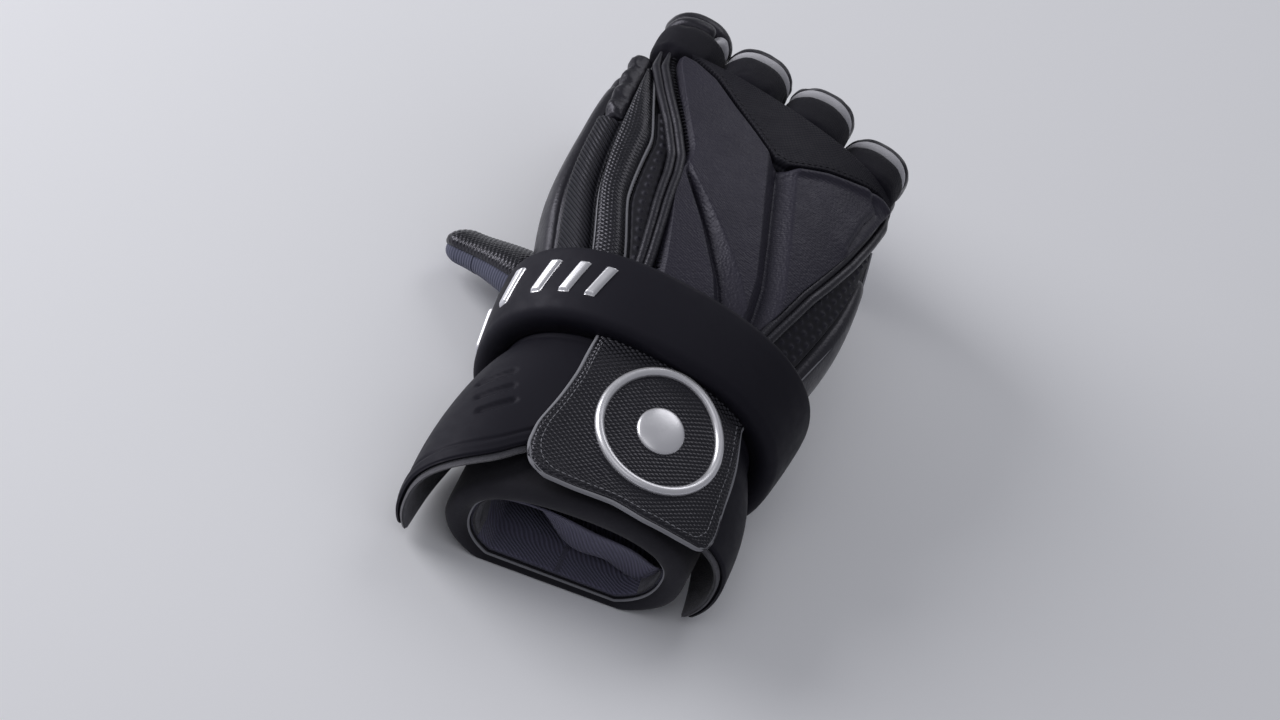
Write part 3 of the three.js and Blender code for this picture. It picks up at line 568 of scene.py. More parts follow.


# the darker low parts of several patterns below are painted shade in their furrows
finishes = {
    "leather": finish("satin_leather", {
        "colour": srgb(21, 20, 26), "rough": 0.38, "pattern": lambda t, w: grainHeight(t, w, 0.0011),
        "bump": 0.45, "deep": 0.0003, "gloss": 0.5}),
    "shell": finish("moulded_shell", {
        "colour": srgb(41, 39, 50), "rough": 0.47, "pattern": linedGrain, "bump": 0.7, "deep": 0.0004,
        "gloss": 0.33}),
    "knuckle": finish("lined_panel", {
        "colour": srgb(26, 25, 33), "rough": 0.5, "pattern": lambda t, w: dotsHeight(t, 0.0018, 0.9),
        "bump": 0.5, "deep": 0.0003, "gloss": 0.25, "hollowShade": 0.6}),
    "rubber": finish("matte_rubber", {
        "colour": srgb(21, 20, 28), "rough": 0.58, "pattern": lambda t, w: noise(t, w, 1500.0, 4.0),
        "bump": 0.12, "deep": 0.0001, "gloss": 0.22, "vary": 0.9}),
    "carbon": finish("dotted_vinyl", {
        "colour": srgb(18, 18, 23), "rough": 0.27, "pattern": vinylDots, "bump": 0.35,
        "deep": 0.0003, "gloss": 0.55, "hollowShade": 0.4}),
    "ribs": finish("ribbed_vinyl", {
        "colour": srgb(36, 36, 43), "rough": 0.42, "pattern": lambda t, w: ribsHeight(t, 0.0016, 0.6),
        "bump": 0.8, "deep": 0.0005, "gloss": 0.35, "hollowShade": 0.3}),
    "mesh": finish("dimpled_mesh", {
        "colour": srgb(35, 34, 43), "rough": 0.6, "pattern": lambda t, w: bumpsHeight(t),
        "bump": 0.3, "deep": 0.0004, "gloss": 0.35, "hollowShade": 0.2}),
    "knit": finish("dark_knit", {
        "colour": srgb(24, 23, 31), "rough": 0.85, "pattern": lambda t, w: weaveHeight(t, 0.0011),
        "bump": 0.6, "deep": 0.0003, "gloss": 0.15, "sheen": 0.06, "hollowShade": 0.5}),
    "grey": finish("grey_textile", {
        "colour": srgb(186, 185, 192), "rough": 0.85, "pattern": lambda t, w: weaveHeight(t, 0.001),
        "bump": 0.5, "deep": 0.0003, "gloss": 0.2, "sheen": 0.1, "hollowShade": 0.75}),
    "felt": finish("grey_felt", {
        "colour": srgb(96, 95, 101), "rough": 0.95, "pattern": lambda t, w: noise(t, w, 1400.0, 6.0, 0.7),
        "bump": 0.9, "deep": 0.0006, "gloss": 0.15, "sheen": 0.15, "vary": 0.6, "patch": 220.0}),
    "thumbCloth": finish("blue_grey_stretch", {
        "colour": srgb(96, 98, 118), "rough": 0.85, "pattern": lambda t, w: ribsHeight(t, 0.0016, 1.57),
        "bump": 0.6, "deep": 0.0004, "gloss": 0.2, "sheen": 0.1, "hollowShade": 0.6}),
    "lining": finish("ribbed_lining", {
        "colour": srgb(104, 102, 124), "rough": 0.9, "pattern": lambda t, w: ribsHeight(t, 0.0021, 0.5),
        "bump": 0.7, "deep": 0.0006, "gloss": 0.2, "sheen": 0.15, "hollowShade": 0.6}),
    "foam": finish("black_foam", {
        "colour": srgb(33, 32, 37), "rough": 0.7, "pattern": lambda t, w: noise(t, w, 900.0, 4.0),
        "bump": 0.35, "deep": 0.0003, "gloss": 0.3, "sheen": 0.12}),
    "piping": finish("light_piping", {
        "colour": srgb(132, 132, 138), "rough": 0.7, "pattern": lambda t, w: noise(t, w, 1200.0, 4.0),
        "bump": 0.5, "deep": 0.0002, "gloss": 0.3}),
    "thread": finish("black_thread", {
        "colour": srgb(15, 15, 19), "rough": 0.6, "pattern": lambda t, w: noise(t, w, 2500.0, 2.0),
        "bump": 0.4, "deep": 0.0001, "gloss": 0.4}),
    "silver": finish("satin_silver", {
        "colour": srgb(226, 225, 231), "rough": 0.34, "pattern": lambda t, w: noise(t, w, 90.0, 1.0),
        "bump": 0.02, "deep": 0.0001, "metal": 0.72, "vary": 0.96, "roughVary": 0.04}),
}
print("finishes made:", len(finishes))

# Seams on the back: shares across, from the thumb side to the little-finger side
seamStations = np.array([0.155, 0.4, 0.64, 0.97])
seams = {
    "thumbSole": (-1.34, -1.36, -1.38, -1.38),
    "ribbed": (-0.95, -0.95, -0.96, -0.99),
    "carbon": (-0.73, -0.78, -0.82, -0.86),
    "meshThumb": (-0.47, -0.57, -0.58, -0.81),
    "railThumb": (-0.38, -0.42, -0.47, -0.78),
    "shell": (-0.31, -0.35, -0.40, -0.71),
    "railLittle": (0.54, 0.63, 0.78, 0.96),
    "meshLittle": (0.61, 0.70, 0.85, 1.00),
    "littleEdge": (0.88, 0.91, 0.96, 1.04),
    "littleSole": (1.40, 1.40, 1.40, 1.40),
}
padStart = 0.12  # share of the hand's length where the pads come out from under the band


def seamLine(name, shift=0.0):
    def at(along):
        reach = 0.02
        steps = reach * np.linspace(-1, 1, 5)
        near = [np.interp(along + step, seamStations, seams[name]) for step in steps]
        return sum(near) / len(near) + shift
    return at


def seamRun(name, shift, start, end):
    return [(a, float(seamLine(name, shift)(a))) for a in np.linspace(start, end, 24)]


def flat(value):
    # the same value everywhere, whatever it is asked for
    return lambda place, *others: value + 0 * place


def lineOn(form, places, lift, count=90, rounds=3):
    # a smooth line through shares (along, across) on a form, with the normals there
    p = smoothLine(np.array(places, float), count, rounds)
    along, angle = p[:, 0], angleAt(p[:, 1])
    height = lift if callable(lift) else flat(lift)
    step = 1e-3
    line = onForm(form, along, angle, height(along, angle))
    du = onForm(form, along, angle + step, height(along, angle + step)) - line
    dv = onForm(form, along + step, angle, height(along + step, angle)) - line
    return line, unit(np.cross(du, dv))


def planLine(places, lift=6.0):
    p = np.array(places, float)
    return onForm(handForm, p[:, 0], angleAt(p[:, 1]), lift)[:, :2]


# Hand skin
handSkin = {"wall": 2.5, "rows": 70, "columns": 100, "nose": 9.0, "hollowTo": 0.92}


def makeHandSkin():
    turn = np.linspace(-math.pi, math.pi, handSkin["columns"], endpoint=False)[None, :]
    noseFrom = 1 - handSkin["nose"] / hand["length"]
    inner = np.linspace(handSkin["hollowTo"], 0, handSkin["rows"])[:, None]
    outer = np.linspace(0, noseFrom, handSkin["rows"])[:, None]
    inside = onForm(handForm, inner, turn, -handSkin["wall"])
    body = onForm(handForm, outer, turn, 0)
    centre = body[-1].mean(0)
    rings = []
    for a in np.linspace(0, math.pi / 2, 8)[1:-1]:
        ahead = np.array([0, handSkin["nose"] * math.sin(a), 0])
        rings.append(centre + (body[-1] - centre) * (0.75 + 0.25 * math.cos(a)) + ahead)
    grid = np.concatenate([inside, body, np.array(rings)])
    return capped(grid, grid[0].mean(0), grid[-1].mean(0) + np.array([0, 0.4, 0]))


addPiece("hand_skin", makeHandSkin(), finishes["leather"], ["hand_body"])

# Side pads and strips on the back
swelled = []  # padded pieces that are blown up together, with the middle lines they swell away from
sidePads = [
    {"name": "side_pad_thumb", "replaces": "side_wall_thumb", "from": "thumbSole", "to": "ribbed",
     "end": 0.97, "wall": 4.2, "round": 5.0, "finish": "leather", "slot": "leather_black", "fill": 0.5,
     "grid": (140, 44)},
    {"name": "ribbed_strip", "replaces": "strip_ribbed", "from": "ribbed", "to": "carbon", "end": 0.69,
     "wall": 6.0, "round": 4.2, "finish": "ribs", "slot": "textured_vinyl", "fill": 0.7, "grid": (230, 44)},
    {"name": "index_side_pad", "replaces": "index_side_pad", "from": "ribbed", "to": "carbon", "end": 1.0,
     "start": 0.70, "wall": 6.6, "round": 8.0, "finish": "leather", "slot": "leather_black", "fill": 0.8,
     "grid": (50, 44)},
    {"name": "carbon_strip", "replaces": "strip_carbon", "from": "carbon", "to": "meshThumb", "end": 0.93,
     "wall": 6.0, "round": 4.2, "finish": "carbon", "slot": "textured_vinyl", "fill": 0.7, "grid": (290, 46)},
    {"name": "side_pad_little", "replaces": "side_wall_little", "from": "littleEdge", "to": "littleSole",
     "end": 0.97, "wall": 4.2, "round": 5.0, "finish": "leather", "slot": "leather_black", "fill": 0.5,
     "grid": (140, 44)},
]
channel = 0.016  # share of the half width that each side of a strip draws back from its seam


def sidePadHeight(sizes):
    def height(w):
        h = sizes["wall"] * (1 + 0.1 * np.sin(math.pi * w["left"] / (w["left"] + w["right"])))
        if sizes["finish"] == "ribs":
            h = h + 0.3 * ribsAt(w["u"], w["v"], 1.6, 0.6)
        if sizes["finish"] == "carbon":
            h = h + 0.35 * scalesAt(w["u"], w["v"], dots["pitch"], dots["squash"])
        if sizes["name"] == "index_side_pad":
            for place in (11.0, 24.0, 35.0):
                h = h - 1.6 * bell(w["start"] - place - 0.15 * w["u"], 1.6)
        return h * rim(w, sizes["round"], sizes["round"])
    return height


handMiddle = np.stack([handForm["x"], handForm["y"], handForm["middle"]], -1)
for sizes in sidePads:
    edges = (seamLine(sizes["from"], channel), seamLine(sizes["to"], -channel),
             flat(sizes.get("start", padStart)), flat(sizes["end"]))
    piece = addPiece(sizes["name"], pad(handForm, edges, sizes["grid"], sidePadHeight(sizes)),
                     finishes[sizes["finish"]], [sizes["replaces"]])
    if sizes["name"] == "index_side_pad":
        swelled.append((piece, resample(handMiddle, 60)))

stripStitches = [
    ("ribbed", 0.050, 0.16, 0.66, 4.9), ("carbon", -0.046, 0.16, 0.67, 4.9),
    ("carbon", 0.046, 0.16, 0.91, 4.9), ("meshThumb", -0.046, 0.16, 0.91, 4.9),
]
made = []
for name, shift, start, end, lift in stripStitches:
    line, normals = lineOn(handForm, seamRun(name, shift, start, end), lift)
    made.append(stitches(line, normals, pitch=3.0, length=2.0, radius=0.28))
addPiece("strip_stitches", joined(made), finishes["piping"])
made = []
for name, shift, end in (("ribbed", 0.02, 0.68), ("carbon", 0.02, 0.92), ("meshThumb", -0.02, 0.92)):
    line, normals = lineOn(handForm, seamRun(name, shift, padStart, end), 2.6)
    made.append(tube(line, normals, 0.75, sides=8))
line, normals = lineOn(handForm, seamRun("littleEdge", 0.05, padStart, 0.9), 3.9)
made.append(tube(line, normals, 0.7, sides=8))
addPiece("strip_piping", joined(made), finishes["piping"])
print("side pads and strips made")

# Dimpled mesh gussets
gusset = {"wall": 2.4, "pitch": 4.6, "bump": 0.9}


def gussetHeight(w):
    a = 2 * math.pi / gusset["pitch"]
    u, v = w["u"], w["v"]
    peak = (np.cos(a * u) + np.cos(a * (0.5 * u + 0.866 * v)) + np.cos(a * (0.5 * u - 0.866 * v))) / 3
    inside = smoothStep((np.minimum(w["left"], w["right"]) - 0.8) / 1.5)  # no bumps on the sewn edges
    return rim(w, 2.0, 2.0) * (gusset["wall"] + gusset["bump"] * inside * np.maximum(peak, 0) ** 2.6)


gussets = [
    ("mesh_thumb", "meshThumb", "railThumb", 0.76, (200, 36)),
    ("mesh_little", "meshLittle", "littleEdge", 0.79, (180, 70)),
]
for name, left, right, end, grid in gussets:
    edges = (seamLine(left), seamLine(right), flat(padStart), flat(end))
    addPiece("gusset_" + name, pad(handForm, edges, grid, gussetHeight), finishes["mesh"], [name])

# Shell on the back, with its two grooves and the bevel beside the rail
shell = {
    "wall": 7.0, "round": 2.4,
    "groove": [(0.80, 0.165), (0.625, 0.239), (0.449, 0.325), (0.336, 0.39), (0.12, 0.48)],
    "grooveDeep": 5.4, "grooveLeft": 6.4, "grooveRight": 7.4,
    "step": [(0.60, -0.31), (0.546, -0.262), (0.493, -0.184), (0.408, -0.06), (0.264, 0.129), (0.12, 0.30)],
    "stepDeep": 5.0, "stepLeft": 4.2, "stepRight": 9.5,
    "seam": 1.0, "seamWide": 0.7,
    "crease": [(0.95, 0.66), (0.889, 0.78), (0.80, 0.73), (0.66, 0.69)],
    "creaseDeep": 1.3,
    "lip": 1.7, "lipWide": 2.6,
    "bevelDeep": 4.4,
}
bevelWide = curveOf((0.15, 6.5), (0.35, 5.2), (0.54, 3.6), (0.62, 6.5), (0.75, 6.5), (0.98, 6.5))
panelEdge = [  # lower edge of the knuckle panel, across and along
    (-0.70, 1.027), (-0.556, 1.017), (-0.393, 0.982), (-0.206, 0.911), (-0.03, 0.853), (0.150, 0.788),
    (0.235, 0.792), (0.46, 0.874), (0.679, 0.936), (0.85, 0.985), (1.0, 1.0),
]


def panelLow(across):
    xs, ys = np.array(panelEdge).T
    return np.interp(across, xs, ys)


def shellHeight(w):
    x, y = w["x"], w["y"]
    away, side, _ = lineDistance(x, y, planLine(shell["groove"]))
    left = np.clip(1 - away / shell["grooveLeft"], 0, 1)
    right = smoothStep(1 - away / shell["grooveRight"])
    panel = 0.5 * (side < 0) * smoothStep((away - 3.5) / 4)
    h = shell["wall"] + panel - shell["grooveDeep"] * np.where(side > 0, left, 0.25 * left + 0.75 * right)
    h = h - shell["seam"] * bell(away, shell["seamWide"])
    away, side, share = lineDistance(x, y, planLine(shell["step"]))
    slope = 1.2 + np.where(side < 0, shell["stepRight"], shell["stepLeft"]) * share
    step = shell["stepDeep"] * np.clip(1 - away / slope, 0, 1) + shell["seam"] * bell(away, shell["seamWide"])
    h = h - step * smoothStep(share * 5)
    h = h - shell["bevelDeep"] * np.clip(1 - w["left"] / bevelWide(w["along"]), 0, 1)
    away, side, _ = lineDistance(x, y, planLine(shell["crease"]))
    h = h - shell["creaseDeep"] * bell(away, 1.6) + 1.1 * bell(away, 6.0) * (side > 0)
    lip = bell(w["end"] - 3.4, shell["lipWide"]) * smoothStep((w["across"] - 0.16) / 0.05)
    lip = lip * smoothStep((w["right"] - 1.0) / 6)
    return np.maximum(h + shell["lip"] * lip, 1.5) * rim(w, shell["round"], 2.2)


edges = (seamLine("shell", 0.006), seamLine("railLittle", -0.004), flat(padStart),
         lambda across: panelLow(across) - 0.012)
addPiece("back_shell", pad(handForm, edges, (240, 190), shellHeight), finishes["shell"], ["back_shell"])

# Knuckle panel, wrapped over the knuckles
knuckle = {"wall": 5.4, "round": 1.8, "scale": 1.8, "relief": 0.22, "top": 1.04}


def knuckleHeight(w):
    relief = knuckle["relief"] * scalesAt(w["u"], w["v"], knuckle["scale"], 0.9)
    return (knuckle["wall"] + relief) * rim(w, 3.0, knuckle["round"])


edges = (flat(-0.70), flat(1.0), panelLow,
         lambda across: np.maximum(knuckle["top"], panelLow(across) + 0.01))
addPiece("knuckle_panel", pad(handForm, edges, (92, 300), knuckleHeight), finishes["knuckle"],
         ["knuckle_panel"])
hemLine = [(along + 0.022, across) for across, along in panelEdge[2:-1]]
line, normals = lineOn(handForm, hemLine, gap + knuckle["wall"] + 0.2, 200, 2)
addPiece("knuckle_stitches", stitches(line, normals, pitch=3.2, length=2.2, radius=0.26), finishes["thread"])
print("shell and knuckle panel made")

# Rails: two rolled edges side by side
rail = {"radius": 2.3, "rise": 5.9, "apart": 0.030}
railThumb = [(0.12, -0.36), (0.36, -0.36), (0.526, -0.375), (0.593, -0.40), (0.64, -0.445), (0.702, -0.505),
             (0.826, -0.645), (0.93, -0.75), (1.0, -0.77)]
railLittle = [(0.12, 0.56), (0.40, 0.665), (0.64, 0.81), (0.80, 0.89), (0.90, 0.935), (0.985, 0.955)]


def makeRail(places, rise, apart):
    made = []
    for shift, lift in ((-apart, rise - 0.8), (apart, rise)):
        line, normals = lineOn(handForm, [(a, b + shift) for a, b in places], lift, 140)
        fade = np.minimum(1, (1 - np.linspace(0, 1, len(line))) * 9 + 0.35)
        made.append(tube(line, normals, rail["radius"] * fade, sides=14))
    return joined(made)


def whipStitches(line, normals, pitch, length, radius):
    # short threads laid across a line
    total = arcLength(line)
    side = unit(np.cross(unit(np.gradient(line, axis=0)), normals))
    made = []
    reach = np.array([[-length / 2], [0], [length / 2]])
    rise = radius * np.array([[-1.2], [0.4], [-1.2]])
    for at in np.arange(pitch, total[-1] - pitch, pitch):
        p, s, n = (np.array([np.interp(at, total, one[:, k]) for k in range(3)])
                   for one in (line, side, normals))
        run = p + s * reach + n * rise
        made.append(tube(run, np.repeat(n[None], 3, 0), [radius * 0.7, radius, radius * 0.7], sides=6))
    return joined(made)


addPiece("rail_thumb", makeRail(railThumb, rail["rise"], rail["apart"]), finishes["leather"], ["rail_thumb"])
addPiece("rail_little", makeRail(railLittle, rail["rise"] - 0.5, 0.024), finishes["leather"], ["rail_little"])
railSeam = [(0.16, -0.262), (0.203, -0.26), (0.348, -0.265), (0.534, -0.284), (0.607, -0.325),
            (0.739, -0.462), (0.881, -0.625), (0.959, -0.70), (1.0, -0.71)]
line, normals = lineOn(handForm, railSeam, 5.4, 200)
addPiece("rail_stitches", whipStitches(line, normals, 2.3, 2.6, 0.4), finishes["thread"])

# Palm patch
edges = (flat(1.6), flat(2.4), flat(0.3), flat(0.92))
addPiece("palm_patch", pad(handForm, edges, (60, 60), lambda w: 1.6 * rim(w, 2.0, 2.0)), finishes["leather"],
         ["palm_patch"])


# Fingers and thumb
def curveThrough(points, count=400):
    # a centripetal Catmull-Rom curve, sampled evenly
    p = [np.array(q, float) for q in points]
    p = [2 * p[0] - p[1]] + p + [2 * p[-1] - p[-2]]
    made = []
    for a, b, c, d in zip(p, p[1:], p[2:], p[3:]):
        steps = [max(np.linalg.norm(m - n) ** 0.5, 1e-4) for m, n in ((b, a), (c, b), (d, c))]
        t1 = ((b - a) / steps[0] - (c - a) / (steps[0] + steps[1]) + (c - b) / steps[1]) * steps[1]
        t2 = ((c - b) / steps[1] - (d - b) / (steps[1] + steps[2]) + (d - c) / steps[2]) * steps[1]
        t = np.linspace(0, 1, 120)[:, None]
        made.append(b + t1 * t + (-3 * b + 3 * c - 2 * t1 - t2) * t**2 + (2 * b - 2 * c + t1 + t2) * t**3)
    return resample(np.vstack(made), count)


def fingerCurve(name):
    slot, first, second, dip, turn, splay = fingerLines[name]
    k = {key: handForm[key][-1] for key in handForm}
    across = slot * finger["pitch"]
    share = min(0.8, abs(across - k["x"]) / k["half"])
    drop = k["tall"] * (1 - (1 - share**squareness) ** (1 / squareness))
    height = k["middle"] + k["tall"] - drop - finger["depth"] / 2 - gap
    start = np.array([across, k["y"] + k["skew"] * across / k["half"], height])
    yaw = math.radians(splay)

    def step(length, slope):
        down = math.radians(slope)
        forward = length * math.cos(down)
        return np.array([-forward * math.sin(yaw), forward * math.cos(yaw), -length * math.sin(down)])

    root = start - step(finger["root"], dip)
    joint = start + step(first * finger["length"], dip)
    bend = joint + step(second * finger["length"], turn)
    reach = (bend[2] - finger["depth"] / 2) / math.sin(math.radians(finger["tipTurn"]))
    return curveThrough([root, start, joint, bend, bend + step(reach, finger["tipTurn"])])


def thumbCurve():
    s = sectionAt(handForm, 0.28)
    root = np.array([s["x"] - 0.62 * s["half"], s["y"] - 0.02 * hand["length"], 0.34 * hand["tall"]])
    turn = math.radians(thumbShape["turn"])

    def step(length, slope):
        down = math.radians(slope)
        level = length * math.cos(down)
        return np.array([-level * math.cos(turn), level * math.sin(turn), -length * math.sin(down)])

    straight = thumbShape["length"] - thumbShape["depth"] / 2
    joint = root + step(thumbShape["joint"] * straight, 2 * thumbShape["slope"])
    tip = joint + step((1 - thumbShape["joint"]) * straight, 3 * thumbShape["slope"])
    return curveThrough([root, joint, tip])


digits = {}
for name in fingerLines:
    digits[name] = {"line": fingerCurve(name), "width": finger["width"], "depth": finger["depth"],
                    "taper": 0.0, "roll": 0.0}
digits["thumb"] = {"line": thumbCurve(), "width": thumbShape["width"], "depth": thumbShape["depth"],
                   "taper": thumbShape["taper"], "roll": math.radians(thumbShape["roll"])}


def onDigit(digit, share, angle, lift, dome=0.0):
    # dome closes the end of the digit, from 0 to a quarter turn
    line = digit["line"]
    at = np.clip(share, 0, 1) * (len(line) - 1)
    steps = np.arange(len(line))
    slopes = np.gradient(line, axis=0)
    middle = np.stack([np.interp(at, steps, line[:, k]) for k in range(3)], -1)
    tangent = unit(np.stack([np.interp(at, steps, slopes[:, k]) for k in range(3)], -1))
    level = unit(np.cross(tangent, np.array([0.0, 0.0, 1.0])))
    plumb = unit(np.cross(level, tangent))
    side = level * math.cos(digit["roll"]) - plumb * math.sin(digit["roll"])
    back = plumb * math.cos(digit["roll"]) + level * math.sin(digit["roll"])
    size = 1 - digit["taper"] * smoothStep((share - 0.3) / 0.7)
    shrink = np.cos(dome)
    across = signedPower(np.sin(angle), 2 / squareness) * (digit["width"] / 2 * size + lift) * shrink
    rise = signedPower(np.cos(angle), 2 / squareness) * (digit["depth"] / 2 * size + lift) * shrink
    ahead = (digit["depth"] / 2 + lift) * np.sin(dome)
    points = middle + side * across[..., None] + back * rise[..., None] + tangent * ahead[..., None]
    points[..., 2] = np.maximum(points[..., 2], offFloor)
    return points


def digitTube(digit, start, end, lift, rows, columns=56, dome=False):
    turn = np.linspace(-math.pi, math.pi, columns, endpoint=False)[None, :]
    share = np.linspace(start, end, rows)
    close = np.zeros(rows)
    if dome:
        arc = np.linspace(0, math.pi / 2, 16)[1:-1]
        share = np.concatenate([share, np.full(len(arc), end)])
        close = np.concatenate([close, arc])
    share, close = share[:, None] + 0 * turn, close[:, None] + 0 * turn
    grid = onDigit(digit, share, turn + 0 * share, lift + 0 * share, close)
    tip = grid[-1].mean(0)
    if dome:
        tip = onDigit(digit, np.array(end), np.array(0.0), np.array(lift), np.array(math.pi / 2))
    return capped(grid, grid[0].mean(0), tip)


domeShare = 0.14  # how far a pad's share runs past 1 to reach the very tip


def digitPad(digit, sizes):
    rows, columns = sizes["grid"]
    low, high = (math.radians(a) for a in sizes["turn"])
    u = np.linspace(0, 1, columns)[None, :]
    v = spaced(rows, 0.8)[:, None]
    share = sizes["from"] + (sizes["to"] - sizes["from"]) * v + 0 * u
    angle = low + (high - low) * u + 0 * v
    over = np.maximum(share - 1, 0) * math.pi / 2 / domeShare
    ground = onDigit(digit, share, angle, gap + 0 * share, over)
    long = np.linalg.norm(np.diff(ground, axis=0), axis=2).sum(0)[None, :]
    wide = np.linalg.norm(np.diff(ground, axis=1), axis=2).sum(1)[:, None]
    ends = rounded(np.minimum(v, 1 - v) * long, min(sizes["puff"], long.mean() / 2.2))
    rims = rounded(np.minimum(u, 1 - u) * wide, 4.0)
    uv = gridUv(ground)
    wall = sizes["wall"] * (1 - sizes["side"] * (angle / math.radians(whole[1])) ** 2)
    wall = wall + sizes.get("relief", 0) * scalesAt(uv[..., 0], uv[..., 1], dots["pitch"], dots["squash"])
    top = onDigit(digit, share, angle, gap + wall * ends * rims, over)
    return closedOver(top, onDigit(digit, share, angle, gap - 1.5 + 0 * share, over), uv)


whole = (-82, 82)  # degrees round a finger that a roll covers
gussetTurn = (23, 82)  # the part of the index finger's trim that is grey
rolls = {
    "roll_1": {"from": 0.125, "to": 0.322, "wall": 6.0, "look": "knit", "slot": "leather_black"},
    "trim": {"from": 0.328, "to": 0.376, "wall": 5.2, "look": "grey", "slot": "grey_fabric"},
    "roll_2": {"from": 0.382, "to": 0.58, "wall": 6.2, "look": "leather", "slot": "leather_black"},
    "roll_3": {"from": 0.588, "to": 0.805, "wall": 6.0, "look": "leather", "slot": "leather_black"},
}
fingerEnd = {"skinTo": 0.84, "tipFrom": 0.812, "tipLift": 0.7}
thumbEnd = {"skinTo": 0.85, "tipFrom": 0.83, "tipLift": 0.25}


def digitTip(digit, end, rows):
    return digitTube(digit, end["tipFrom"], 1.0, end["tipLift"], rows, dome=True)


for name in fingerLines:
    digit = digits[name]
    addPiece(name + "_skin", digitTube(digit, 0.0, fingerEnd["skinTo"], 0.0, 70), finishes["leather"],
             [name + "_finger"])
    addPiece(name + "_tip", digitTip(digit, fingerEnd, 30), finishes["grey"], [name + "_cap"])
    for key, roll in rolls.items():
        sizes = {**roll, "turn": whole, "side": 0.62, "puff": 5.5, "grid": (48, 64)}
        look = roll["look"]
        if (name, key) == ("index", "trim"):
            look, sizes["turn"] = "leather", (whole[0], gussetTurn[0] - 3)
        piece = addPiece(f"{name}_{key}_pad", digitPad(digit, sizes), finishes[look], [f"{name}_{key}"])
        if key != "trim":
            swelled.append((piece, digit["line"][::8]))
indexGusset = {"from": 0.326, "to": 0.378, "wall": 5.2, "turn": gussetTurn, "side": 0.62, "puff": 3.0,
               "grid": (30, 40)}
addPiece("index_gusset", digitPad(digits["index"], indexGusset), finishes["grey"])
thumb = digits["thumb"]
addPiece("thumb_skin", digitTube(thumb, 0.0, thumbEnd["skinTo"], 0.0, 60), finishes["thumbCloth"], ["thumb"])
addPiece("thumb_tip", digitTip(thumb, thumbEnd, 24), finishes["thumbCloth"], ["thumb_cap"])
thumbBack = {"from": 0.4, "to": 1.09, "wall": 3.6, "turn": (-70, 62), "side": 0.6, "puff": 6.0,
             "grid": (120, 100), "relief": 0.3}
addPiece("thumb_back", digitPad(thumb, thumbBack), finishes["carbon"], ["thumb_pad"])
print("fingers and thumb made")

# Collar and lining
collar = {"wall": 10.0, "sole": 3.0, "mouthSole": 1.2, "lip": 4.5, "start": -0.08}
liningSizes = {"wall": 1.5, "drop": 33.0, "dropAt": 0.15, "dropWide": 0.13, "lowest": 7.5, "lift": 3.0}


def ringLoft(form, along, lift, under, columns=160):
    # a closed ring: the profile's rows run round in a loop
    turn = np.linspace(-math.pi, math.pi, columns, endpoint=False)[None, :]
    along = np.asarray(along, float)[:, None] + 0 * turn
    grid = onForm(form, along, turn + 0 * along, lift(along, turn), under(along, turn))
    return loopSolid(grid)


def loopSolid(grid):
    rows, columns = grid.shape[:2]
    around = np.linalg.norm(np.diff(grid, axis=1), axis=2)
    u = np.append(0, np.cumsum(around.mean(0)))
    v = arcLength(grid[:, columns // 2])
    uv = np.stack(np.broadcast_arrays(u[None, :], v[:, None]), -1)
    return outward(part(grid, loopFaces(rows, columns), uv=uv))


def collarSole(along):
    # the bottom of the collar thins out towards the mouth
    thicker = smoothStep((along - collar["start"]) / 0.4)
    return collar["mouthSole"] + (collar["sole"] - collar["mouthSole"]) * thicker


def makeCollar():
    lip, start = collar["lip"], collar["start"]
    arc = np.linspace(0, math.pi, 21)
    inner = np.linspace(start + lip / cuff["length"] + 0.03, 0.99, 30)
    outer = np.linspace(0.99, start + lip / cuff["length"] + 0.02, 40)
    along = np.concatenate([start + lip * (1 - np.sin(arc)) / cuff["length"], inner, outer])
    depth = np.concatenate([(1 - np.cos(arc)) / 2, np.ones(30), np.zeros(40)])[:, None]

    def soft(a, g):
        wide = 0.7 * np.sin(3 * g + 1) * np.exp(-np.abs(a - start) / 0.15)
        return wide + 0.4 * np.sin(7 * g) * np.exp(-np.abs(a) / 0.1)

    return ringLoft(cuffForm, along, lambda a, g: -collar["wall"] * depth + soft(a, g) * (1 - depth),
                    lambda a, g: -collarSole(a) * depth, 200)


def liningLift(along, angle):
    return collar["wall"] + gap + 0.8 + 0.8 * np.sin(3.2 * angle + 0.8) * smoothStep((along + 0.02) / 0.1)


def sagged(points, along, angle):
    # the padded top of the lining hangs into the opening, most towards the little-finger side
    s = sectionAt(cuffForm, along)
    across = (points[..., 0] - s["x"]) / s["half"]
    hump = bell(along - liningSizes["dropAt"], liningSizes["dropWide"])
    fold = smoothStep((across + 0.95) / 1.2) * (1 + 0.07 * np.sin(9 * across + 14 * along))
    drop = liningSizes["drop"] * hump * fold * smoothStep(1.6 * np.cos(angle) - 0.1)
    points[..., 2] -= np.minimum(drop, np.maximum(points[..., 2] - liningSizes["lowest"], 0))
    return points


def liningUnder(along, angle):
    hump = bell(along - 0.3, 0.2)
    return collarSole(along) + gap + 0.5 + liningSizes["lift"] * hump * (1 + 0.3 * np.sin(4 * angle))


def makeLining():
    count = 56
    along = np.concatenate([np.linspace(-0.015, 0.98, count), np.linspace(0.98, -0.015, count)])
    extra = np.concatenate([np.zeros(count), np.full(count, liningSizes["wall"])])[:, None]
    turn = np.linspace(-math.pi, math.pi, 180, endpoint=False)[None, :]
    along = along[:, None] + 0 * turn
    turn = turn + 0 * along
    ring = onForm(cuffForm, along, turn, 0.8 - liningLift(along, turn) - extra,
                  0.5 - liningUnder(along, turn) - extra)
    return loopSolid(sagged(ring, along, turn))


addPiece("cuff_collar", makeCollar(), finishes["foam"], ["cuff_collar"])
addPiece("cuff_lining", makeLining(), finishes["lining"], ["cuff_lining"])


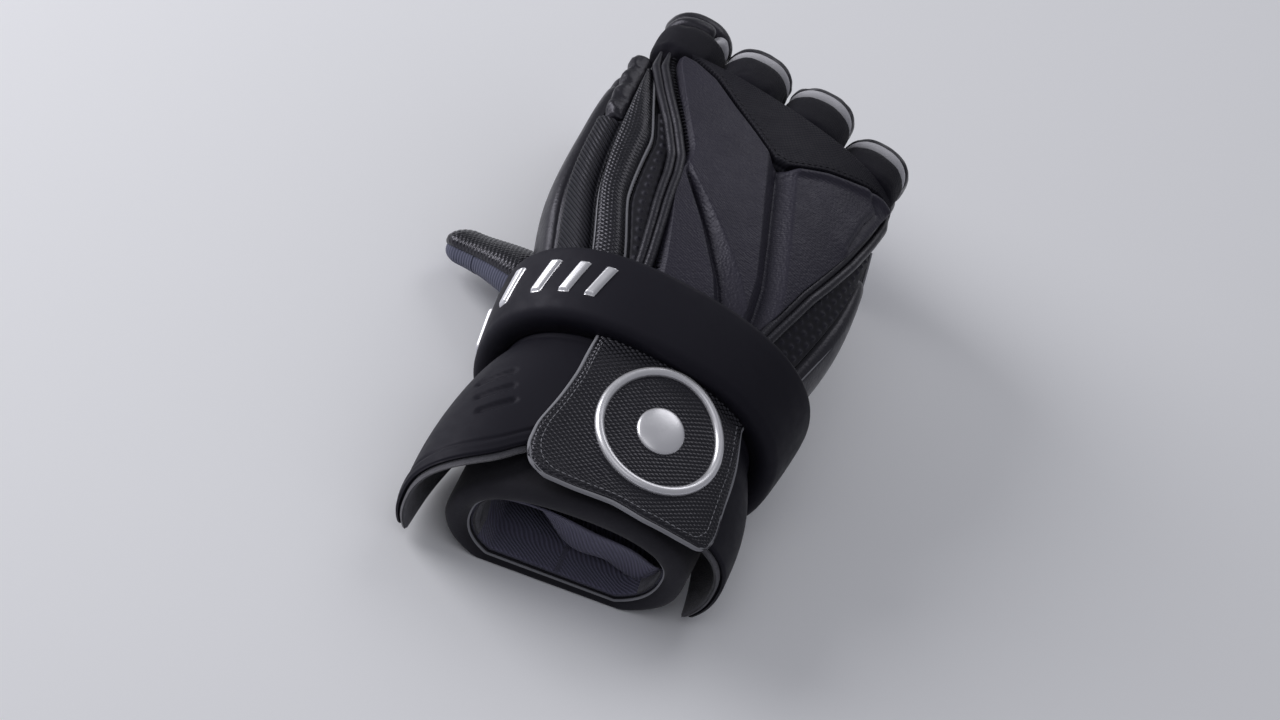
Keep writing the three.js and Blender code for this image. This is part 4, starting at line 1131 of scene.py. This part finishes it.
def makeLiningEnd(middle, reach):
    # a felt patch over the side of the lining, facing the inside
    u = np.linspace(-1, 1, 34)[None, :]
    v = np.linspace(-0.02, 0.24, 30)[:, None]
    angle = math.radians(middle) + math.radians(reach) * u * (1 - 0.5 * smoothStep((v - 0.08) / 0.2))
    edge = rounded((1 - np.abs(u)) * 14, 1.5) * rounded(np.minimum(v + 0.02, 0.24 - v) * cuff["length"], 1.5)
    along = v + 0 * u
    lift = -liningLift(along, angle) - 0.7
    under = -liningUnder(along, angle) - 0.7
    top = sagged(onForm(cuffForm, along, angle, lift - 0.9 * edge, under - 0.9 * edge), along, angle)
    low = sagged(onForm(cuffForm, along, angle, lift + 0.5, under + 0.5), along, angle)
    return closedOver(top, low, gridUv(top))


addPiece("lining_end_thumb", makeLiningEnd(-92, 30), finishes["felt"])
addPiece("lining_end_little", makeLiningEnd(96, 24), finishes["felt"])


def makeCollarPiping():
    # a cord on the inner edge of the mouth
    along, points = -0.035, 240
    turn = np.linspace(-math.pi, math.pi, points, endpoint=False)
    line = onForm(cuffForm, np.full(points, along), turn, 0.3 - collar["wall"], 0.2 - collarSole(along))
    middle = sectionAt(cuffForm, np.array(along))
    facing = unit(np.array([middle["x"], -3.0, middle["middle"]]) - line)
    return tube(line, facing, 0.75, 8, closed=True)


addPiece("collar_piping", makeCollarPiping(), finishes["piping"])

# Flaps of the cuff: rubber over grey felt
flap = {"felt": 2.0, "wall": 4.5, "thumbFlare": 15.0, "littleFlare": 10.0, "topFlare": 1.5, "fade": 0.82,
        "hem": 7.5, "meet": 0.02, "end": 0.985, "feltOut": 0.02, "feltPast": 0.022}
thumbStart = curveOf((-1.4, -0.1), (-1.0, -0.085), (-0.858, -0.047), (-0.706, 0.015), (-0.573, 0.104),
                     (-0.45, 0.17), (0.02, 0.2))
slots = [  # plain recesses in the thumb flap: share along, share across
    (0.30, -0.80), (0.40, -0.84), (0.50, -0.88),
]


def flareAt(along, angle):
    side = np.where(angle < 0, flap["thumbFlare"], flap["littleFlare"])
    fade = 1 - np.minimum(1, np.maximum(0, along) / flap["fade"]) ** 3
    return fade * (flap["topFlare"] + (side - flap["topFlare"]) * np.sin(angle) ** 2)


def flapLayer(lift):
    return lambda along, angle: gap + flareAt(along, angle) + lift


def flapRelief(w):
    # a hem line along the free edges and the plain recesses
    farAway = 400  # on the top of the cuff the sides aren't free edges
    sides = np.minimum(w["left"], w["right"]) + farAway * (np.abs(w["across"]) < 0.8)
    free = np.minimum(w["start"], sides)
    relief = 0.5 * bell(free - flap["hem"] + 3, 2.0) - 0.8 * bell(free - flap["hem"], 1.0)
    for along, across in slots:
        near = np.argmin((w["along"] - along) ** 2 + (w["across"] - across) ** 2)
        du, dv = w["u"] - w["u"].flat[near], w["v"] - w["v"].flat[near]
        run = np.maximum(np.abs(du + 0.35 * dv) - 7.0, 0)
        away = np.hypot(run, dv - 0.35 * du)
        relief = relief - 1.3 * smoothStep((2.6 - away) / 1.2)
    return relief


def thumbSide(along):
    return -1.22 - 0.18 * along


def littleSide(along):
    return 1.25 + 0.15 * along


meet, end = flat(flap["meet"]), flat(flap["end"])
flapEdges = {  # of the rubber, and of the felt that shows a little past it
    "thumb": (thumbSide, meet, thumbStart, end),
    "thumbFelt": (lambda along: thumbSide(along) - flap["feltOut"], meet,
                  lambda across: thumbStart(across) - flap["feltPast"], end),
    "little": (meet, littleSide, flat(0.0), end),
    "littleFelt": (meet, lambda along: littleSide(along) + flap["feltOut"], flat(-flap["feltPast"]), end),
}
flapGrids = {"thumb": (125, 160), "thumbFelt": (60, 80), "little": (70, 90), "littleFelt": (50, 70)}
under, between, over = flapLayer(0.0), flapLayer(flap["felt"]), flapLayer(flap["wall"])
for side, relief in (("thumb", flapRelief), ("little", None)):
    rubber = slabOver(cuffForm, flapEdges[side], flapGrids[side], between, over, 1.3, relief)
    addPiece("flap_" + side, rubber, finishes["rubber"], ["cuff_flap_" + side])
    felt = slabOver(cuffForm, flapEdges[side + "Felt"], flapGrids[side + "Felt"], under, between, 1.0)
    addPiece(f"flap_{side}_felt", felt, finishes["felt"])

# Shield over the flaps, with its piping and stitches
shield = {"wall": 3.5, "low": gap + flap["wall"], "end": 0.86, "relief": 0.5}
shieldLeft = curveOf((-0.08, -0.33), (-0.072, -0.36), (-0.011, -0.474), (0.09, -0.522), (0.225, -0.524),
                     (0.398, -0.481), (0.602, -0.443), (0.86, -0.43))
shieldRight = curveOf((-0.125, 0.72), (-0.09, 0.775), (-0.023, 0.795), (0.26, 0.771), (0.86, 0.758))
shieldStart = curveOf((-0.36, -0.072), (-0.151, -0.082), (0.13, -0.078), (0.362, -0.114), (0.619, -0.124),
                      (0.75, -0.118))
shieldOutline = [(0.86, -0.43), (0.602, -0.443), (0.398, -0.481), (0.225, -0.524), (0.09, -0.522),
                 (-0.011, -0.474), (-0.068, -0.36), (-0.08, -0.151), (-0.08, 0.13), (-0.112, 0.362),
                 (-0.122, 0.619), (-0.112, 0.75), (-0.023, 0.795), (0.26, 0.771), (0.86, 0.758)]


def shieldLift(extra):
    return lambda along, angle: shield["low"] + flareAt(along, angle) + extra


def shieldRelief(w):
    edge = np.minimum(np.minimum(w["left"], w["right"]), w["start"])
    hem = smoothStep((edge - 1.6) / 1.0)
    raised = shield["relief"] * scalesAt(w["u"], w["v"], dots["pitch"], dots["squash"])
    return raised * hem - 0.4 * bell(edge - 1.8, 0.8)


edges = (shieldLeft, shieldRight, shieldStart, flat(shield["end"]))
plate = slabOver(cuffForm, edges, (165, 165), shieldLift(gap), shieldLift(shield["wall"]), 1.4, shieldRelief)
addPiece("cuff_shield", plate, finishes["carbon"], ["cuff_shield"])
line, normals = lineOn(cuffForm, shieldOutline, shieldLift(2.3), 260, 8)
addPiece("shield_piping", tube(line, normals, 1.0, sides=8), finishes["piping"])
hemAt = {"along": 0.35, "across": 0.14, "size": 0.905}  # the stitched line is the outline, made smaller
inner = [(hemAt["along"] + (along - hemAt["along"]) * hemAt["size"],
          hemAt["across"] + (across - hemAt["across"]) * hemAt["size"]) for along, across in shieldOutline]
line, normals = lineOn(cuffForm, inner, shieldLift(shield["wall"] + 0.35), 260, 8)
addPiece("shield_stitches", stitches(line, normals, pitch=2.8, length=1.9, radius=0.24), finishes["piping"])

# Badge: a half-round ring and a plain domed button
badge = {
    "along": 0.452, "across": 0.215, "radius": 26.9, "rim": 2.1, "tilt": 1.03, "button": 11.0, "dome": 2.4,
}


def layOnShield(offsets, lift):
    # points on the shield at given offsets in plan from the badge's middle, with their normals
    a = np.full(len(offsets), badge["along"])
    g = np.full(len(offsets), float(angleAt(badge["across"])))
    centre = onForm(cuffForm, a[:1], g[:1], shieldLift(shield["wall"])(a[:1], g[:1]))[0]
    height = shieldLift(shield["wall"] + lift)
    step = 1e-3
    for _ in range(14):
        now = onForm(cuffForm, a, g, height(a, g))
        da = onForm(cuffForm, a + step, g, height(a + step, g)) - now
        dg = onForm(cuffForm, a, g + step, height(a, g + step)) - now
        missing = (centre + offsets - now)[:, :2]
        det = da[:, 0] * dg[:, 1] - da[:, 1] * dg[:, 0]
        a = a + np.clip((missing[:, 0] * dg[:, 1] - missing[:, 1] * dg[:, 0]) / det * step, -0.2, 0.2)
        g = g + np.clip((da[:, 0] * missing[:, 1] - da[:, 1] * missing[:, 0]) / det * step, -0.3, 0.3)
    return now, unit(np.cross(dg, da))


def makeRing():
    turn = np.linspace(0, 2 * math.pi, 140, endpoint=False)
    flatX = badge["radius"] * np.cos(turn)
    flatY = badge["radius"] * badge["tilt"] * np.sin(turn)
    line, normals = layOnShield(np.stack([flatX, flatY, 0 * turn], -1), 0.5)
    return tube(line, normals, badge["rim"], sides=16, closed=True)


def makeButton():
    sides = 60
    spread = np.linspace(0, 1, 16)[1:]
    turn = np.linspace(0, 2 * math.pi, sides, endpoint=False)
    flatX = badge["button"] * spread[:, None] * np.cos(turn)
    flatY = badge["button"] * badge["tilt"] * spread[:, None] * np.sin(turn)
    ground, up = layOnShield(np.stack([flatX, flatY, 0 * flatX], -1).reshape(-1, 3), 0.2)
    dome = badge["dome"] * np.sqrt(np.maximum(1 - spread**2, 0))
    dome[-1] = -0.8
    grid = (ground + up * np.repeat(dome, sides)[:, None]).reshape(len(spread), sides, 3)
    return capped(grid, grid[0].mean(0) + up[0] * 0.03, grid[-1].mean(0))


addPiece("badge_ring", makeRing(), finishes["silver"], ["badge_ring"])
addPiece("badge_button", makeButton(), finishes["silver"], ["badge_button"])

# Wrist band and its bars
band = {"wall": 11.0, "width": 34.0, "lap": 12.0, "round": 3.6}
bandLift = gap + flap["wall"] + gap + band["wall"]
bandBack = 1 - band["lap"] / cuff["length"]
bandFront = (band["width"] - band["lap"]) / hand["length"]
bars = {
    "count": 6, "width": 4.6, "pitch": 8.2, "length": 15.0, "slant": 5.0, "height": 1.5, "from": -0.5,
    "half": 54.0,
}


def onBand(share, angle, lift):
    # share runs over the band's width, from its back rim to its front rim
    back, front = sectionAt(cuffForm, np.array(bandBack)), sectionAt(handForm, np.array(bandFront))
    s = {key: back[key] * (1 - share) + front[key] * share for key in back}
    across = signedPower(np.sin(angle), 2 / squareness)
    rise = signedPower(np.cos(angle), 2 / squareness)
    x = s["x"] + (s["half"] + lift) * across
    z = s["middle"] + (s["tall"] + lift) * rise
    y = s["y"] + s["skew"] * (x - s["x"]) / s["half"]
    return np.stack(np.broadcast_arrays(x, y, np.maximum(z, offFloor)), -1)


def makeBand():
    turn = np.linspace(-math.pi, math.pi, 220, endpoint=False)[None, :]
    r, w = band["round"], band["width"]
    quarter = np.linspace(0, math.pi / 2, 10)
    back = [(r * (1 - math.cos(a)) / w, bandLift - r * (1 - math.sin(a))) for a in quarter]
    crown = [(s, bandLift + 0.5 * math.sin(math.pi * s)) for s in np.linspace(r / w, 1 - r / w, 14)[1:-1]]
    front = [(1 - s, lift) for s, lift in back[::-1]]
    under = [(s, gap + 0.4 + (flap["wall"] + gap) * (1 - smoothStep((s - 0.3) / 0.1)))
             for s in np.linspace(1, 0, 16)]
    rings = np.array(back + crown + front + under)
    share, lift = rings[:, :1] + 0 * turn, rings[:, 1:] + 0 * turn
    return loopSolid(onBand(share, turn + 0 * share, lift))


bandTurns = np.linspace(-math.pi, math.pi, 2000)
bandArc = arcLength(onBand(0.5 + 0 * bandTurns, bandTurns, bandLift))


def makeBar(index):
    u = spaced(13, 0.8)[None, :]
    v = spaced(34, 0.8)[:, None]
    share = 0.5 + (v - 0.5) * bars["length"] / band["width"] + 0 * u
    offset = index * bars["pitch"] + bars["width"] / 2 - bars["slant"] / 2
    middle = np.interp(angleAt(bars["from"] - offset / bars["half"]), bandTurns, bandArc)
    reach = middle + bars["slant"] * (v - 0.5) + bars["width"] * (u - 0.5)
    angle = np.interp(reach, bandArc, bandTurns)
    edge = rounded(np.minimum(u, 1 - u) * bars["width"], 1.1)
    edge = edge * rounded(np.minimum(v, 1 - v) * bars["length"], 1.1)
    top = onBand(share, angle, bandLift + 0.4 + bars["height"] * edge)
    return closedOver(top, onBand(share, angle, bandLift - 1.0 + 0 * edge), gridUv(top))


addPiece("wrist_band", makeBand(), finishes["rubber"], ["wrist_band"])
for index in range(bars["count"]):
    name = f"band_bar_{index + 1}"
    addPiece(name, makeBar(index), finishes["silver"], [name])
print("cuff, band and bars made")

# Padded pieces swell from their sewn rims
swelling = {"voxel": 0.0019, "pressure": 4.0, "frames": 20, "cap": 0.0026, "slack": -0.04}


def replaceMesh(piece):
    graph = bpy.context.evaluated_depsgraph_get()
    made = bpy.data.meshes.new_from_object(piece.evaluated_get(graph))
    piece.modifiers.clear()
    old = piece.data
    piece.data = made
    bpy.data.meshes.remove(old)


def readPoints(mesh, what="co"):
    values = np.zeros(len(mesh.vertices) * 3, np.float32)
    mesh.vertices.foreach_get(what, values)
    return values.reshape(-1, 3).astype(float)


def startCloth(piece, axis):
    rest = readPoints(piece.data)
    axis = (axis + gloveShift) / 1000
    near = axis[np.argmin(((rest[:, None] - axis[None]) ** 2).sum(-1), axis=1)]
    facing = np.einsum("ij,ij->i", readPoints(piece.data, "normal"), unit(rest - near))
    held = np.clip((0.4 - facing) / 0.4, 0, 1)
    sewn = piece.vertex_groups.new(name="sewn")
    for number in np.nonzero(held > 0.01)[0]:
        sewn.add([int(number)], float(held[number]), "REPLACE")
    cloth = piece.modifiers.new("swell", "CLOTH")
    settings = cloth.settings
    settings.quality = 6
    settings.vertex_group_mass = "sewn"
    settings.use_pressure = True
    settings.uniform_pressure_force = swelling["pressure"]
    settings.shrink_min = swelling["slack"]
    settings.effector_weights.gravity = 0
    cloth.point_cache.frame_end = swelling["frames"]
    return rest


def endCloth(piece, rest):
    graph = bpy.context.evaluated_depsgraph_get()
    moved = readPoints(piece.evaluated_get(graph).data) - rest
    far = np.linalg.norm(moved, axis=1, keepdims=True)
    piece.modifiers.clear()
    piece.vertex_groups.clear()
    points = rest + moved * np.minimum(1, swelling["cap"] / np.maximum(far, 1e-9))
    piece.data.vertices.foreach_set("co", points.astype(np.float32).ravel())
    piece.data.update()
    return far


for piece, axis in swelled:
    remesh = piece.modifiers.new("even", "REMESH")
    remesh.mode = "VOXEL"
    remesh.voxel_size = swelling["voxel"]
    replaceMesh(piece)
starts = [startCloth(piece, axis) for piece, axis in swelled]
for moment in range(1, swelling["frames"] + 1):
    bpy.context.scene.frame_set(moment)
gone = np.concatenate([endCloth(piece, rest) for (piece, axis), rest in zip(swelled, starts)])
bpy.context.scene.frame_set(1)
far, farthest = gone.mean() * 1000, gone.max() * 1000
print(f"swelled {len(swelled)} pads by {far:.2f} mm on average, {farthest:.2f} mm at most")
for piece, axis in swelled:
    piece.modifiers.new("round", "SUBSURF").levels = 1
    replaceMesh(piece)
    piece.data.polygons.foreach_set("use_smooth", np.ones(len(piece.data.polygons), bool))

# Floor, lights and camera
view = {
    "elevation": 41.0, "roll": 28.0, "distance": 1300.0, "lens": 85.22, "aim": (2.0, 100.0, 94.0),
    "right": 21.45, "up": 32.18,
}
stage = {"half": 6.0, "colour": srgb(243, 243, 248), "room": (0.86, 0.88, 0.93, 1), "roomPower": 0.31}
lamps = {  # shares of towards, upwards and rightwards, then distance, size and power
    "key": (0.3, 0.85, -0.75, 1.6, 1.1, 17),
    "fill": (1.0, 0.4, 0.0, 1.6, 1.0, 1.6),
    "rim": (-0.1, 1.0, 0.7, 1.5, 0.9, 3.0),
}


def makeStage():
    mesh = bpy.data.meshes.new("floor")
    corners = [(x * stage["half"], y * stage["half"], 0) for x, y in ((-1, -1), (1, -1), (1, 1), (-1, 1))]
    mesh.from_pydata(corners, [], [(0, 1, 2, 3)])
    floor = bpy.data.objects.new("floor", mesh)
    bpy.context.scene.collection.objects.link(floor)
    material = bpy.data.materials.new("pale_floor")
    material.use_nodes = True
    shader = material.node_tree.nodes["Principled BSDF"]
    shader.inputs["Base Color"].default_value = stage["colour"]
    shader.inputs["Roughness"].default_value = 0.9
    shader.inputs["Specular IOR Level"].default_value = 0.2
    mesh.materials.append(material)
    world = bpy.data.worlds.new("soft_room")
    bpy.context.scene.world = world
    world.use_nodes = True
    room = world.node_tree.nodes["Background"]
    room.inputs[0].default_value = stage["room"]
    room.inputs[1].default_value = stage["roomPower"]


def addLight(name, direction, distance, size, power, target):
    light = bpy.data.lights.new(name, "AREA")
    light.shape = "DISK"
    light.size = size
    light.energy = power
    lamp = bpy.data.objects.new(name, light)
    bpy.context.scene.collection.objects.link(lamp)
    lamp.location = target + Vector(direction).normalized() * distance
    lamp.rotation_euler = (target - lamp.location).to_track_quat("-Z", "Y").to_euler()


def makeCamera():
    e, r = math.radians(view["elevation"]), math.radians(view["roll"])
    back = np.array([0, -math.cos(e), math.sin(e)])
    side, rise = np.array([1.0, 0, 0]), np.array([0, math.sin(e), math.cos(e)])
    right = math.cos(r) * side + math.sin(r) * rise
    up = -math.sin(r) * side + math.cos(r) * rise
    aim = np.array(view["aim"]) + gloveShift
    spot = (aim + back * view["distance"] - right * view["right"] - up * view["up"]) / 1000
    data = bpy.data.cameras.new("camera")
    data.lens = view["lens"]
    data.sensor_width = 36
    camera = bpy.data.objects.new("camera", data)
    bpy.context.scene.collection.objects.link(camera)
    camera.matrix_world = Matrix([[right[i], up[i], back[i], spot[i]] for i in range(3)] + [[0, 0, 0, 1]])
    bpy.context.scene.camera = camera
    return back, up, right


makeStage()
towards, upwards, rightwards = makeCamera()
centre = Vector((0, 0, 0.05))
for name, (near, high, right, distance, size, power) in lamps.items():
    addLight(name, towards * near + upwards * high + rightwards * right, distance, size, power, centre)
bpy.context.scene.view_settings.view_transform = "Standard"
print("stage, lights and camera made")
